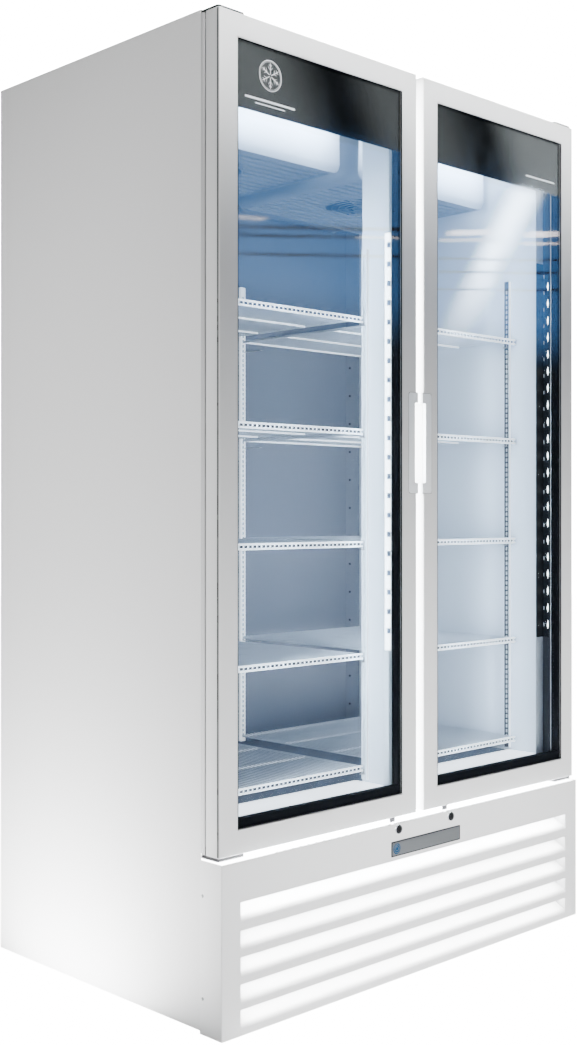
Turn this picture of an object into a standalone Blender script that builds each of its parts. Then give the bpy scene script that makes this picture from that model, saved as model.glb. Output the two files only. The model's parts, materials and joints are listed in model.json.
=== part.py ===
"""Two-door upright glass door merchandiser, modelled as an assembly of separate parts.

Frame: metres, +Z up, X to the right, the doors face -Y. The origin is the centre of the
footprint on the floor.
"""

import math

import bmesh
import bpy
from mathutils import Vector

GAP = 0.0003  # clearance between touching pieces
THROUGH = 0.01  # how far a cutting shape runs past what it cuts

# Overall envelope
HALF_WIDTH = 0.594
GRILLE_HALF_WIDTH = 0.597
TOP = 1.994
HALF_DEPTH = 0.3895
REAR = HALF_DEPTH

# Depth stations, front to back
LOCK_FACE = -HALF_DEPTH
GRILLE_FRONT = LOCK_FACE + 0.003
DOOR_FRONT = LOCK_FACE + 0.013
DOOR_DEPTH = 0.040
DOOR_REAR = DOOR_FRONT + DOOR_DEPTH
GASKET_REAR = DOOR_FRONT + 0.0533
CABINET_FRONT = DOOR_FRONT + 0.0545
BREAKER_REAR = DOOR_FRONT + 0.074
LINER_BACK = DOOR_FRONT + 0.710

# Doors
DOOR_GAP = 0.0244
DOOR_BOTTOM = 0.352
DOOR_TOP = 1.987
STILE = 0.048
DOOR_SHEET = 0.0015
GLASS_BOTTOM = 0.402
GLASS_TOP = 1.939
GLASS_FRONT = DOOR_FRONT + 0.002
GLASS_DEPTH = 0.022
PANE = 0.004
SPACER = 0.009
VENT_HOLE = 0.003
GASKET_WIDTH = 0.014
GASKET_INSET_HINGE = 0.008
GASKET_INSET_FREE = 0.009
GASKET_INSET_ENDS = 0.014
HINGE_INSET = 0.015
HINGE_DEPTH = 0.020
HINGE_PIN_RADIUS = 0.004
HINGE_HOLE_RADIUS = 0.0043
HINGE_HOLE_DEPTH = 0.016
HINGE_PIN_REACH = 0.018
HINGE_PIN_CLEARANCE = 0.003
HINGE_PIN_SINK = 0.001
BRACKET_INSET = 0.001
BRACKET_SETBACK = 0.005
BRACKET_LENGTH = 0.070
BRACKET_PLATE = 0.004
BRACKET_FLANGE = 0.0035
BRACKET_FLANGE_HEIGHT = 0.012
DOOR_END_CLEARANCE = 0.0016
ROUND_SIDES = 16
SMOOTH_ANGLE = math.radians(30.0)

# Pull handles let into the meeting stiles
HANDLE_BOTTOM = 1.059
HANDLE_TOP = 1.282
HANDLE_WIDTH = 0.027
HANDLE_PROUD = 0.0045
HANDLE_DEPTH = 0.010
FINGER_BOTTOM = 1.082
FINGER_TOP = 1.260
FINGER_WIDTH = 0.007

# Cabinet
INNER_HALF_WIDTH = 0.542
MOUTH_HALF_WIDTH = 0.572
CAVITY_FLOOR = 0.404
CAVITY_TOP = 1.930
WALL_BOTTOM = 0.354
SHEET = 0.001
SIDE_BOTTOM = 0.009
CORNER_CHAMFER = 0.027

# Centre mullion
MULLION_HALF_WIDTH = 0.037
MULLION_REAR = DOOR_FRONT + 0.140
MULLION_SHEET = 0.0015
LAMP_COVER_HALF_WIDTH = 0.043
LAMP_COVER_PLATE = 0.0025
LAMP_COVER_REAR = DOOR_FRONT + 0.071

# Light switch in the ceiling
SWITCH_Y = DOOR_FRONT + 0.172
SWITCH_RECESS = (0.0075, 0.0125, 0.012)
SWITCH_PIVOT_Z = CAVITY_TOP + 0.005
SWITCH_HALF_WIDTH = 0.0065
SWITCH_HALF_LENGTH = 0.010
SWITCH_Z = (CAVITY_TOP - 0.004, CAVITY_TOP + 0.007)
SWITCH_TILT = math.radians(-8.0)

# Pilasters, shelves and lamps
PILASTER_WIDTH = 0.016
PILASTER_DEPTH = 0.008
POST_PILASTER_DEPTH = 0.006
POST_PILASTER_INSET = 0.003
PILASTER_BOTTOM = 0.412
PILASTER_TOP = 1.612
SIDE_PILASTER_Y = (DOOR_FRONT + 0.160, DOOR_FRONT + 0.615)
REAR_PILASTER_X = 0.109
SHELF_LEVELS = (0.437, 0.691, 0.945, 1.199, 1.453)
SHELF_FRONT = DOOR_FRONT + 0.130
SHELF_REAR = DOOR_FRONT + 0.640
SHELF_INNER_X = 0.046
SHELF_OUTER_X = 0.5315
SHELF_WIRE = 0.004
SHELF_WIRE_COUNT = 8
SHELF_LIP = 0.014
LAMP_BOTTOM = 0.700
LAMP_TOP = 1.650
LAMP_DEPTH = 0.018

# Evaporator housings
HOUSING_BOTTOM = 1.800
HOUSING_FRONT = DOOR_FRONT + 0.216
HOUSING_REAR = DOOR_FRONT + 0.640
HOUSING_INNER_X = 0.032
HOUSING_OUTER_X = 0.511
HOUSING_WALL = 0.003
RETURN_MARGIN_X = 0.040
RETURN_MARGIN_Z = 0.020
FAN_RADIUS = 0.085
FAN_CHORD = 0.045
FAN_PORT_RADIUS = 0.093

# Machine compartment
GRILLE_BOTTOM = 0.004
GRILLE_TOP = 0.342
GRILLE_SHEET = 0.0015
GRILLE_LIP = 0.012
SLOT_HALF_WIDTH = 0.549
SLOT_TOPS = (0.2627, 0.2075, 0.1560, 0.1037, 0.0545)
SLOT_HEIGHT = 0.0255
LOUVRE_DEPTH = 0.012
LOUVRE_RISE = 0.010
LOUVRE_SHEET = 0.0015
LOCK_X = (-0.085, 0.094)
LOCK_Z = 0.329
LOCK_RADIUS = 0.010
LOCK_HOLE_RADIUS = 0.0106
CAM_LENGTH = 0.028
CAM_FRONT = GRILLE_FRONT + 0.004
CAM_THICKNESS = 0.0025
CAM_HALF_WIDTH = 0.004
CAM_REST_ANGLE = math.radians(225.0)
CAM_NOTCH_MARGIN = 0.002
CAM_NOTCH_HALF_HEIGHT = 0.004
KEEPER_OFFSET = 0.017
KEEPER_HALF_WIDTH = 0.004
KEEPER_SETBACK = 0.002
KEEPER_THICKNESS = 0.003
KEEPER_LAP = 0.010
KEEPER_BOTTOM = 0.3435
PAN_TOP = 0.034
PAN_BOTTOM = 0.014
PAN_SHEET = 0.0015
PAN_FRONT = CABINET_FRONT + 0.003
PAN_REAR = REAR - 0.002


def clear_scene():
    for obj in list(bpy.data.objects):
        bpy.data.objects.remove(obj, do_unlink=True)


def material(name, color, roughness, metallic=0.0):
    mat = bpy.data.materials.new(name)
    mat.use_nodes = True
    shader = mat.node_tree.nodes["Principled BSDF"]
    shader.inputs["Base Color"].default_value = (*color, 1.0)
    shader.inputs["Roughness"].default_value = roughness
    shader.inputs["Metallic"].default_value = metallic
    mat.diffuse_color = (*color, 1.0)
    return mat


def glass_material(name):
    mat = material(name, (0.80, 0.86, 0.88), 0.05)
    mat.node_tree.nodes["Principled BSDF"].inputs["Transmission Weight"].default_value = 0.9
    return mat


def add_object(name, mesh, location, mat):
    obj = bpy.data.objects.new(name, mesh)
    obj.location = location
    mesh.materials.append(mat)
    bpy.context.collection.objects.link(obj)
    return obj


def finish_mesh(name, bm, origin=(0.0, 0.0, 0.0)):
    """A mesh from bm with its vertices taken relative to origin and its faces pointing out."""
    bmesh.ops.recalc_face_normals(bm, faces=bm.faces)
    bmesh.ops.translate(bm, verts=bm.verts, vec=-Vector(origin))
    mesh = bpy.data.meshes.new(name)
    bm.to_mesh(mesh)
    bm.free()
    return mesh


def cell_inside(cell_centre, blocks):
    return any(
        all(low[i] < cell_centre[i] < high[i] for i in range(3)) for low, high in blocks
    )


def block_bmesh(blocks, holes=()):
    """The surface of the union of axis-aligned blocks less the holes, as one bmesh."""
    cuts = []
    for axis in range(3):
        values = {round(corner[axis], 7) for block in (*blocks, *holes) for corner in block}
        cuts.append(sorted(values))
    counts = [len(values) - 1 for values in cuts]

    def filled(i, j, k):
        if not all(0 <= n < count for n, count in zip((i, j, k), counts)):
            return False
        centre = [(cuts[a][n] + cuts[a][n + 1]) / 2 for a, n in enumerate((i, j, k))]
        return cell_inside(centre, blocks) and not cell_inside(centre, holes)

    cells = {
        (i, j, k)
        for i in range(counts[0])
        for j in range(counts[1])
        for k in range(counts[2])
        if filled(i, j, k)
    }
    bm = bmesh.new()
    verts = {}

    def vert(i, j, k):
        if (i, j, k) not in verts:
            verts[i, j, k] = bm.verts.new((cuts[0][i], cuts[1][j], cuts[2][k]))
        return verts[i, j, k]

    for cell in sorted(cells):
        for axis in range(3):
            u, v = [a for a in range(3) if a != axis]
            for side in (0, 1):
                neighbour = list(cell)
                neighbour[axis] += 1 if side else -1
                if tuple(neighbour) in cells:
                    continue
                base = list(cell)
                base[axis] += side
                ring = []
                for du, dv in ((0, 0), (1, 0), (1, 1), (0, 1)):
                    corner = list(base)
                    corner[u] += du
                    corner[v] += dv
                    ring.append(vert(*corner))
                bm.faces.new(ring)
    bmesh.ops.recalc_face_normals(bm, faces=bm.faces)
    bmesh.ops.dissolve_limit(
        bm, angle_limit=math.radians(1.0), verts=bm.verts, edges=bm.edges
    )
    return bm


def blocks_object(name, blocks, mat, holes=(), origin=None):
    """One closed body made of axis-aligned blocks less the holes."""
    if origin is None:
        low = [min(block[0][a] for block in blocks) for a in range(3)]
        high = [max(block[1][a] for block in blocks) for a in range(3)]
        origin = [(low[a] + high[a]) / 2 for a in range(3)]
    mesh = finish_mesh(name, block_bmesh(blocks, holes), origin)
    return add_object(name, mesh, origin, mat)


def prism_object(name, outline, low, high, mat):
    """A plan outline of (x, y) points extruded from height low to height high."""
    bm = bmesh.new()
    lower = [bm.verts.new((x, y, low)) for x, y in outline]
    upper = [bm.verts.new((x, y, high)) for x, y in outline]
    bm.faces.new(lower)
    bm.faces.new(upper)
    for i in range(len(outline)):
        j = (i + 1) % len(outline)
        bm.faces.new((lower[i], lower[j], upper[j], upper[i]))
    origin = (0.0, (outline[0][1] + outline[-1][1]) / 2, (low + high) / 2)
    return add_object(name, finish_mesh(name, bm, origin), origin, mat)


def cylinder_object(name, radius, length, location, axis, mat, sides=ROUND_SIDES):
    """A cylinder centred on location, along axis 'X', 'Y' or 'Z'."""
    bm = bmesh.new()
    bmesh.ops.create_cone(
        bm, cap_ends=True, segments=sides, radius1=radius, radius2=radius, depth=length
    )
    turn = {"X": (0.0, math.pi / 2, 0.0), "Y": (math.pi / 2, 0.0, 0.0), "Z": (0.0, 0.0, 0.0)}
    obj = add_object(name, finish_mesh(name, bm), location, mat)
    obj.rotation_euler = turn[axis]
    obj.data.shade_smooth()
    obj.data.set_sharp_from_angle(angle=SMOOTH_ANGLE)
    return obj


def helper(obj):
    """Marks an object as a construction shape of a Boolean."""
    obj.hide_render = True
    obj.display_type = "WIRE"
    return obj


def boolean(obj, tool, operation):
    modifier = obj.modifiers.new(tool.name, "BOOLEAN")
    modifier.operation = operation
    modifier.solver = "EXACT"
    modifier.object = helper(tool)


def cut(obj, *tools):
    for tool in tools:
        boolean(obj, tool, "DIFFERENCE")


def join(obj, *tools):
    for tool in tools:
        boolean(obj, tool, "UNION")


def ring_blocks(outer_low, outer_high, inner_low, inner_high, axis=1):
    """Blocks and hole of a rectangular ring whose opening runs along axis."""
    hole_low = list(inner_low)
    hole_high = list(inner_high)
    hole_low[axis] = outer_low[axis] - THROUGH
    hole_high[axis] = outer_high[axis] + THROUGH
    return [(outer_low, outer_high)], [(tuple(hole_low), tuple(hole_high))]


clear_scene()

WHITE = material("white_paint", (0.78, 0.79, 0.79), 0.35)
LINER = material("liner_white", (0.86, 0.88, 0.90), 0.40)
BLACK = material("black_plastic", (0.02, 0.02, 0.022), 0.45)
RUBBER = material("grey_rubber", (0.16, 0.16, 0.17), 0.70)
SHELF_WHITE = material("shelf_coating", (0.88, 0.90, 0.92), 0.35)
STEEL = material("zinc_steel", (0.55, 0.56, 0.57), 0.35, 1.0)
ALUMINIUM = material("fin_aluminium", (0.72, 0.73, 0.74), 0.40, 1.0)
LAMP = material("lamp_strip", (0.92, 0.95, 1.00), 0.30)
COMPRESSOR_BLACK = material("compressor_black", (0.03, 0.03, 0.03), 0.50)
CHROME = material("lock_chrome", (0.60, 0.61, 0.62), 0.15, 1.0)
GLASS = glass_material("door_glass")


def span(first, second):
    return min(first, second), max(first, second)


def box_between(x_pair, y_pair, z_pair):
    (x0, x1), (y0, y1), (z0, z1) = x_pair, y_pair, z_pair
    return (x0, y0, z0), (x1, y1, z1)


# ---------------------------------------------------------------- doors

DOOR_OUTER = HALF_WIDTH
DOOR_INNER = DOOR_GAP / 2
PIN_X = HALF_WIDTH - HINGE_INSET
PIN_Y = DOOR_FRONT + HINGE_DEPTH


def add_door(side, sign, keeper_x):
    """Frame, glass unit, gasket and pull of one door; sign is -1 for left, +1 for right."""
    outer, inner = sign * DOOR_OUTER, sign * DOOR_INNER
    x_low, x_high = span(outer, inner)
    origin = (sign * PIN_X, PIN_Y, DOOR_BOTTOM)

    glass_low, glass_high = x_low + STILE, x_high - STILE
    blocks, holes = ring_blocks(
        (x_low, DOOR_FRONT, DOOR_BOTTOM), (x_high, DOOR_REAR, DOOR_TOP),
        (glass_low, DOOR_FRONT, GLASS_BOTTOM), (glass_high, DOOR_REAR, GLASS_TOP),
    )
    # The frame is a pressed channel, open to the rear behind the gasket.
    channel_front, channel_rear = DOOR_FRONT + DOOR_SHEET, DOOR_REAR + THROUGH
    stiles = (
        (x_low + DOOR_SHEET, glass_low - DOOR_SHEET),
        (glass_high + DOOR_SHEET, x_high - DOOR_SHEET),
    )
    channel_z = (DOOR_BOTTOM + STILE / 2, DOOR_TOP - STILE / 2)
    for stile in stiles:
        holes.append(box_between(stile, (channel_front, channel_rear), channel_z))
    rails = (
        (DOOR_BOTTOM + HINGE_PIN_REACH + DOOR_SHEET, GLASS_BOTTOM - DOOR_SHEET),
        (GLASS_TOP + DOOR_SHEET, DOOR_TOP - HINGE_PIN_REACH - DOOR_SHEET),
    )
    rail_x = (x_low + STILE / 2, x_high - STILE / 2)
    for rail in rails:
        holes.append(box_between(rail_x, (channel_front, channel_rear), rail))
    pocket_x = span(inner - sign * THROUGH, inner + sign * (HANDLE_WIDTH + GAP))
    holes.append(box_between(
        pocket_x, (DOOR_FRONT - THROUGH, DOOR_FRONT + HANDLE_DEPTH + GAP),
        (HANDLE_BOTTOM - GAP, HANDLE_TOP + GAP),
    ))
    finger_x = span(inner - sign * THROUGH, inner + sign * FINGER_WIDTH)
    finger_z = (FINGER_BOTTOM, FINGER_TOP)
    holes.append(box_between(finger_x, (DOOR_FRONT - THROUGH, DOOR_REAR + THROUGH), finger_z))
    keeper_front = DOOR_FRONT + KEEPER_SETBACK
    blocks.append(box_between(
        (keeper_x - KEEPER_HALF_WIDTH, keeper_x + KEEPER_HALF_WIDTH),
        (keeper_front, keeper_front + KEEPER_THICKNESS),
        (KEEPER_BOTTOM, DOOR_BOTTOM + KEEPER_LAP),
    ))
    frame = blocks_object(f"{side}_door_frame", blocks, WHITE, holes, origin)
    for end, height in (("lower", DOOR_BOTTOM), ("upper", DOOR_TOP)):
        cut(frame, cylinder_object(
            f"{side}_{end}_hinge_hole", HINGE_HOLE_RADIUS, 2 * HINGE_HOLE_DEPTH,
            (sign * PIN_X, PIN_Y, height), "Z", WHITE,
        ))

    unit_low = (glass_low + GAP, GLASS_FRONT, GLASS_BOTTOM + GAP)
    unit_high = (glass_high - GAP, GLASS_FRONT + GLASS_DEPTH, GLASS_TOP - GAP)
    air_low = (unit_low[0] + SPACER, unit_low[1] + PANE, unit_low[2] + SPACER)
    air_high = (unit_high[0] - SPACER, unit_high[1] - PANE, unit_high[2] - SPACER)
    centre_x = (unit_low[0] + unit_high[0]) / 2
    centre_y = (unit_low[1] + unit_high[1]) / 2
    vent = (
        (centre_x - VENT_HOLE / 2, centre_y - VENT_HOLE / 2, air_high[2] - VENT_HOLE),
        (centre_x + VENT_HOLE / 2, centre_y + VENT_HOLE / 2, unit_high[2] + THROUGH),
    )
    blocks_object(
        f"{side}_glass_unit", [(unit_low, unit_high)], GLASS, [(air_low, air_high), vent], origin
    )

    hinge_inset = outer - sign * GASKET_INSET_HINGE
    free_inset = inner + sign * GASKET_INSET_FREE
    seal_low, seal_high = span(hinge_inset, free_inset)
    seal_bottom, seal_top = DOOR_BOTTOM + GASKET_INSET_ENDS, DOOR_TOP - GASKET_INSET_ENDS
    blocks, holes = ring_blocks(
        (seal_low, DOOR_REAR + GAP, seal_bottom), (seal_high, GASKET_REAR, seal_top),
        (seal_low + GASKET_WIDTH, DOOR_REAR, seal_bottom + GASKET_WIDTH),
        (seal_high - GASKET_WIDTH, DOOR_REAR, seal_top - GASKET_WIDTH),
    )
    blocks_object(f"{side}_door_gasket", blocks, RUBBER, holes, origin)

    plate_x = span(inner - sign * HANDLE_PROUD, inner + sign * HANDLE_WIDTH)
    blocks_object(
        f"{side}_door_pull",
        [box_between(
            plate_x, (DOOR_FRONT, DOOR_FRONT + HANDLE_DEPTH), (HANDLE_BOTTOM, HANDLE_TOP)
        )],
        WHITE,
        [box_between(finger_x, (DOOR_FRONT - THROUGH, DOOR_REAR), finger_z)],
        origin,
    )


add_door("left", -1, LOCK_X[0] - KEEPER_OFFSET)
add_door("right", 1, LOCK_X[1] - KEEPER_OFFSET)


# ---------------------------------------------------------------- hinge brackets

def add_hinge_bracket(name, sign, upward):
    """A plate over the door's end with a pin into the door and a flange on the cabinet front."""
    x_pair = span(sign * (HALF_WIDTH - BRACKET_INSET), sign * (HALF_WIDTH - BRACKET_LENGTH))
    y_pair = (DOOR_FRONT + BRACKET_SETBACK, CABINET_FRONT - GAP)
    pin_reach = HINGE_PIN_REACH - HINGE_PIN_CLEARANCE
    if upward:
        face = DOOR_BOTTOM - DOOR_END_CLEARANCE
        plate_z = (face - BRACKET_PLATE, face)
        flange_z = (plate_z[0], face + BRACKET_FLANGE_HEIGHT)
        pin_z = (plate_z[0] + HINGE_PIN_SINK, DOOR_BOTTOM + pin_reach)
    else:
        face = DOOR_TOP + DOOR_END_CLEARANCE
        plate_z = (face, face + BRACKET_PLATE)
        flange_z = (face - BRACKET_FLANGE_HEIGHT, plate_z[1])
        pin_z = (DOOR_TOP - pin_reach, plate_z[1] - HINGE_PIN_SINK)
    blocks = [
        box_between(x_pair, y_pair, plate_z),
        box_between(x_pair, (CABINET_FRONT - GAP - BRACKET_FLANGE, CABINET_FRONT - GAP), flange_z),
    ]
    bracket = blocks_object(name, blocks, STEEL)
    join(bracket, cylinder_object(
        f"{name}_pin", HINGE_PIN_RADIUS, pin_z[1] - pin_z[0],
        (sign * PIN_X, PIN_Y, (pin_z[0] + pin_z[1]) / 2), "Z", STEEL,
    ))


for side, sign in (("left", -1), ("right", 1)):
    add_hinge_bracket(f"{side}_lower_hinge", sign, True)
    add_hinge_bracket(f"{side}_upper_hinge", sign, False)


# ---------------------------------------------------------------- cabinet body

WALL_OUTER = HALF_WIDTH - SHEET - GAP
WALL_REAR = REAR - SHEET - GAP
WALL_FRONT = BREAKER_REAR + GAP


def add_outer_panels():
    for side, sign in (("left", -1), ("right", 1)):
        x_pair = span(sign * HALF_WIDTH, sign * (HALF_WIDTH - SHEET))
        blocks_object(
            f"outer_{side}_panel",
            [box_between(x_pair, (CABINET_FRONT, REAR), (SIDE_BOTTOM, TOP))],
            WHITE,
        )
    blocks_object(
        "outer_back_panel",
        [box_between(
            (-WALL_OUTER, WALL_OUTER), (REAR - SHEET, REAR), (WALL_BOTTOM, TOP)
        )],
        WHITE,
    )


def add_insulated_walls():
    """Foam-filled wall slabs with the inner liner bonded on."""
    for side, sign in (("left", -1), ("right", 1)):
        x_pair = span(sign * WALL_OUTER, sign * INNER_HALF_WIDTH)
        blocks_object(
            f"insulated_{side}_wall",
            [box_between(
                x_pair, (WALL_FRONT, LINER_BACK - GAP), (CAVITY_FLOOR + GAP, CAVITY_TOP - GAP)
            )],
            LINER,
        )
    edge = INNER_HALF_WIDTH - GAP
    front_edge = LINER_BACK - CORNER_CHAMFER
    outline = [
        (-WALL_OUTER, WALL_REAR), (WALL_OUTER, WALL_REAR), (WALL_OUTER, LINER_BACK),
        (edge, LINER_BACK), (edge, front_edge), (edge - CORNER_CHAMFER, LINER_BACK),
        (-edge + CORNER_CHAMFER, LINER_BACK), (-edge, front_edge), (-edge, LINER_BACK),
        (-WALL_OUTER, LINER_BACK),
    ]
    prism_object(
        "insulated_back_wall", outline, CAVITY_FLOOR + GAP, CAVITY_TOP - GAP, LINER
    )
    wide = (-WALL_OUTER, WALL_OUTER)
    deep = (WALL_FRONT, WALL_REAR)
    blocks_object(
        "insulated_floor", [box_between(wide, deep, (WALL_BOTTOM, CAVITY_FLOOR))], LINER
    )
    blocks_object(
        "insulated_ceiling",
        [box_between(wide, deep, (CAVITY_TOP, TOP))],
        LINER,
        [box_between(
            (-SWITCH_RECESS[0], SWITCH_RECESS[0]),
            (SWITCH_Y - SWITCH_RECESS[1], SWITCH_Y + SWITCH_RECESS[1]),
            (CAVITY_TOP - THROUGH, CAVITY_TOP + SWITCH_RECESS[2]),
        )],
    )


def add_light_switch():
    """A rocker in the ceiling recess, pivoting about X and resting on one side."""
    rocker = blocks_object(
        "light_switch_rocker",
        [box_between(
            (-SWITCH_HALF_WIDTH, SWITCH_HALF_WIDTH),
            (SWITCH_Y - SWITCH_HALF_LENGTH, SWITCH_Y + SWITCH_HALF_LENGTH), SWITCH_Z,
        )],
        BLACK,
        origin=(0.0, SWITCH_Y, SWITCH_PIVOT_Z),
    )
    rocker.rotation_euler = (SWITCH_TILT, 0.0, 0.0)


def add_front_frame():
    """The thermal breaker frame around the cavity mouth."""
    blocks, holes = ring_blocks(
        (-WALL_OUTER, CABINET_FRONT, WALL_BOTTOM), (WALL_OUTER, BREAKER_REAR, TOP),
        (-MOUTH_HALF_WIDTH, CABINET_FRONT, CAVITY_FLOOR),
        (MOUTH_HALF_WIDTH, BREAKER_REAR, CAVITY_TOP),
    )
    blocks_object("front_frame", blocks, BLACK, holes)


def add_mullion():
    """A hollow sheet-metal post between the doors, open at both ends."""
    front = CABINET_FRONT + LAMP_COVER_PLATE + GAP
    low = (-MULLION_HALF_WIDTH, front, CAVITY_FLOOR + GAP)
    high = (MULLION_HALF_WIDTH, MULLION_REAR, CAVITY_TOP - GAP)
    bore = (
        (low[0] + MULLION_SHEET, low[1] + MULLION_SHEET, low[2] - THROUGH),
        (high[0] - MULLION_SHEET, high[1] - MULLION_SHEET, high[2] + THROUGH),
    )
    blocks_object("centre_mullion", [(low, high)], LINER, [bore])


add_outer_panels()
add_insulated_walls()
add_light_switch()
add_front_frame()
add_mullion()


# ---------------------------------------------------------------- pilasters, shelves, lamps

def add_pilaster(name, x_pair, y_pair, wall_axis, wall_side):
    """A channel strip, open on the side that lies against the wall, along wall_axis."""
    low, high = box_between(x_pair, y_pair, (PILASTER_BOTTOM, PILASTER_TOP))
    hole_low = [low[a] + SHEET for a in range(3)]
    hole_high = [high[a] - SHEET for a in range(3)]
    if wall_side > 0:
        hole_high[wall_axis] = high[wall_axis] + THROUGH
    else:
        hole_low[wall_axis] = low[wall_axis] - THROUGH
    hole = (tuple(hole_low), tuple(hole_high))
    blocks_object(name, [(low, high)], SHELF_WHITE, [hole])


def add_pilasters():
    half = PILASTER_WIDTH / 2
    for side, sign in (("left", -1), ("right", 1)):
        wall = sign * (INNER_HALF_WIDTH - GAP)
        for place, y in zip(("front", "rear"), SIDE_PILASTER_Y):
            add_pilaster(
                f"{side}_{place}_pilaster",
                span(wall, wall - sign * PILASTER_DEPTH), (y - half, y + half), 0, sign,
            )
        post = sign * (MULLION_HALF_WIDTH + GAP)
        post_y = MULLION_REAR - half - POST_PILASTER_INSET
        add_pilaster(
            f"{side}_mullion_pilaster",
            span(post, post + sign * POST_PILASTER_DEPTH), (post_y - half, post_y + half),
            0, -sign,
        )
        back_x = sign * REAR_PILASTER_X
        back_y = LINER_BACK - GAP
        add_pilaster(
            f"{side}_back_pilaster",
            (back_x - half, back_x + half), (back_y - PILASTER_DEPTH, back_y), 1, 1,
        )


def add_shelf(name, sign, level):
    """Wires running front to back between cross rods, with an upright front lip."""
    x_low, x_high = span(sign * SHELF_INNER_X, sign * SHELF_OUTER_X)
    top = level + SHELF_LIP / 2
    wire_z = (top - 2 * SHELF_WIRE, top - SHELF_WIRE)
    blocks = []
    pitch = (x_high - x_low - SHELF_WIRE) / (SHELF_WIRE_COUNT - 1)
    for i in range(SHELF_WIRE_COUNT):
        x = x_low + i * pitch
        blocks.append(box_between((x, x + SHELF_WIRE), (SHELF_FRONT, SHELF_REAR), wire_z))
    for y in ((SHELF_FRONT + SHELF_REAR) / 2, SHELF_REAR - SHELF_WIRE):
        blocks.append(box_between((x_low, x_high), (y, y + SHELF_WIRE), wire_z))
    front = (SHELF_FRONT, SHELF_FRONT + SHELF_WIRE)
    blocks.append(box_between((x_low, x_high), front, (top - SHELF_LIP, top)))
    blocks_object(name, blocks, SHELF_WHITE)


def add_lamps():
    """LED strips: one in each jamb's step, and a cover over the mullion's front with two wings."""
    jamb_y = (BREAKER_REAR + GAP - LAMP_DEPTH, BREAKER_REAR)
    for side, sign in (("left", -1), ("right", 1)):
        x_pair = span(sign * (INNER_HALF_WIDTH + GAP), sign * (MOUTH_HALF_WIDTH - GAP))
        blocks_object(
            f"{side}_lamp_strip", [box_between(x_pair, jamb_y, (LAMP_BOTTOM, LAMP_TOP))], LAMP
        )
    low = (-LAMP_COVER_HALF_WIDTH, CABINET_FRONT, CAVITY_FLOOR + GAP)
    high = (LAMP_COVER_HALF_WIDTH, LAMP_COVER_REAR, CAVITY_TOP - GAP)
    inside = (
        (-MULLION_HALF_WIDTH - GAP, CABINET_FRONT + LAMP_COVER_PLATE, low[2] - THROUGH),
        (MULLION_HALF_WIDTH + GAP, LAMP_COVER_REAR + THROUGH, high[2] + THROUGH),
    )
    blocks_object("mullion_lamp_strip", [(low, high)], LAMP, [inside])


add_pilasters()
for side, sign in (("left", -1), ("right", 1)):
    for number, level in enumerate(SHELF_LEVELS, start=1):
        add_shelf(f"{side}_shelf_{number}", sign, level)
add_lamps()


# ---------------------------------------------------------------- turned and bladed pieces

def turned_object(name, profile, location, mat, sides=ROUND_SIDES):
    """A solid of revolution about Z; profile is (radius, height) from the bottom to the top."""
    bm = bmesh.new()
    rings = []
    for radius, height in profile:
        ring = []
        for i in range(sides):
            angle = 2 * math.pi * i / sides
            ring.append(bm.verts.new((radius * math.cos(angle), radius * math.sin(angle), height)))
        rings.append(ring)
    for lower, upper in zip(rings, rings[1:]):
        for i in range(sides):
            j = (i + 1) % sides
            bm.faces.new((lower[i], lower[j], upper[j], upper[i]))
    bm.faces.new(rings[0])
    bm.faces.new(rings[-1])
    obj = add_object(name, finish_mesh(name, bm), location, mat)
    obj.data.shade_smooth()
    obj.data.set_sharp_from_angle(angle=SMOOTH_ANGLE)
    return obj


FAN_BLADES = 5
FAN_HUB_RADIUS = 0.018
FAN_HUB_DEPTH = 0.026
BLADE_ROOT_RADIUS = 0.0108
BLADE_THICKNESS = 0.002
BLADE_PITCH = math.radians(28.0)


def blade_mesh(name, root, tip, chord):
    """A flat blade from radius root to tip along X, pitched about X."""
    bm = block_bmesh([(
        (root, -chord / 2, -BLADE_THICKNESS / 2), (tip, chord / 2, BLADE_THICKNESS / 2)
    )])
    for v in bm.verts:
        y, z = v.co.y, v.co.z
        v.co.y = y * math.cos(BLADE_PITCH) - z * math.sin(BLADE_PITCH)
        v.co.z = y * math.sin(BLADE_PITCH) + z * math.cos(BLADE_PITCH)
    return finish_mesh(name, bm)


def add_fan(name, centre, axis, radius, chord):
    """A hub with pitched blades, turning about its own origin along axis 'Y' or 'Z'."""
    hub = cylinder_object(name, FAN_HUB_RADIUS, FAN_HUB_DEPTH, centre, axis, BLACK)
    for i in range(FAN_BLADES):
        mesh = blade_mesh(f"{name}_blade_{i}", BLADE_ROOT_RADIUS, radius, chord)
        blade = add_object(f"{name}_blade_{i}", mesh, centre, BLACK)
        blade.rotation_mode = "ZYX"
        tilt = math.pi / 2 if axis == "Y" else 0.0
        blade.rotation_euler = (tilt, 0.0, 2 * math.pi * i / FAN_BLADES)
        join(hub, blade)


# ---------------------------------------------------------------- evaporator

HOUSING_CENTRE_X = (HOUSING_INNER_X + HOUSING_OUTER_X) / 2
HOUSING_CENTRE_Y = (HOUSING_FRONT + HOUSING_REAR) / 2
EVAPORATOR_FAN_Z = HOUSING_BOTTOM + 0.026
MOTOR_RADIUS = 0.030
MOTOR_DEPTH = 0.034
MOTOR_CLEARANCE = 0.001
CROSSBAR = 0.012


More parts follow.
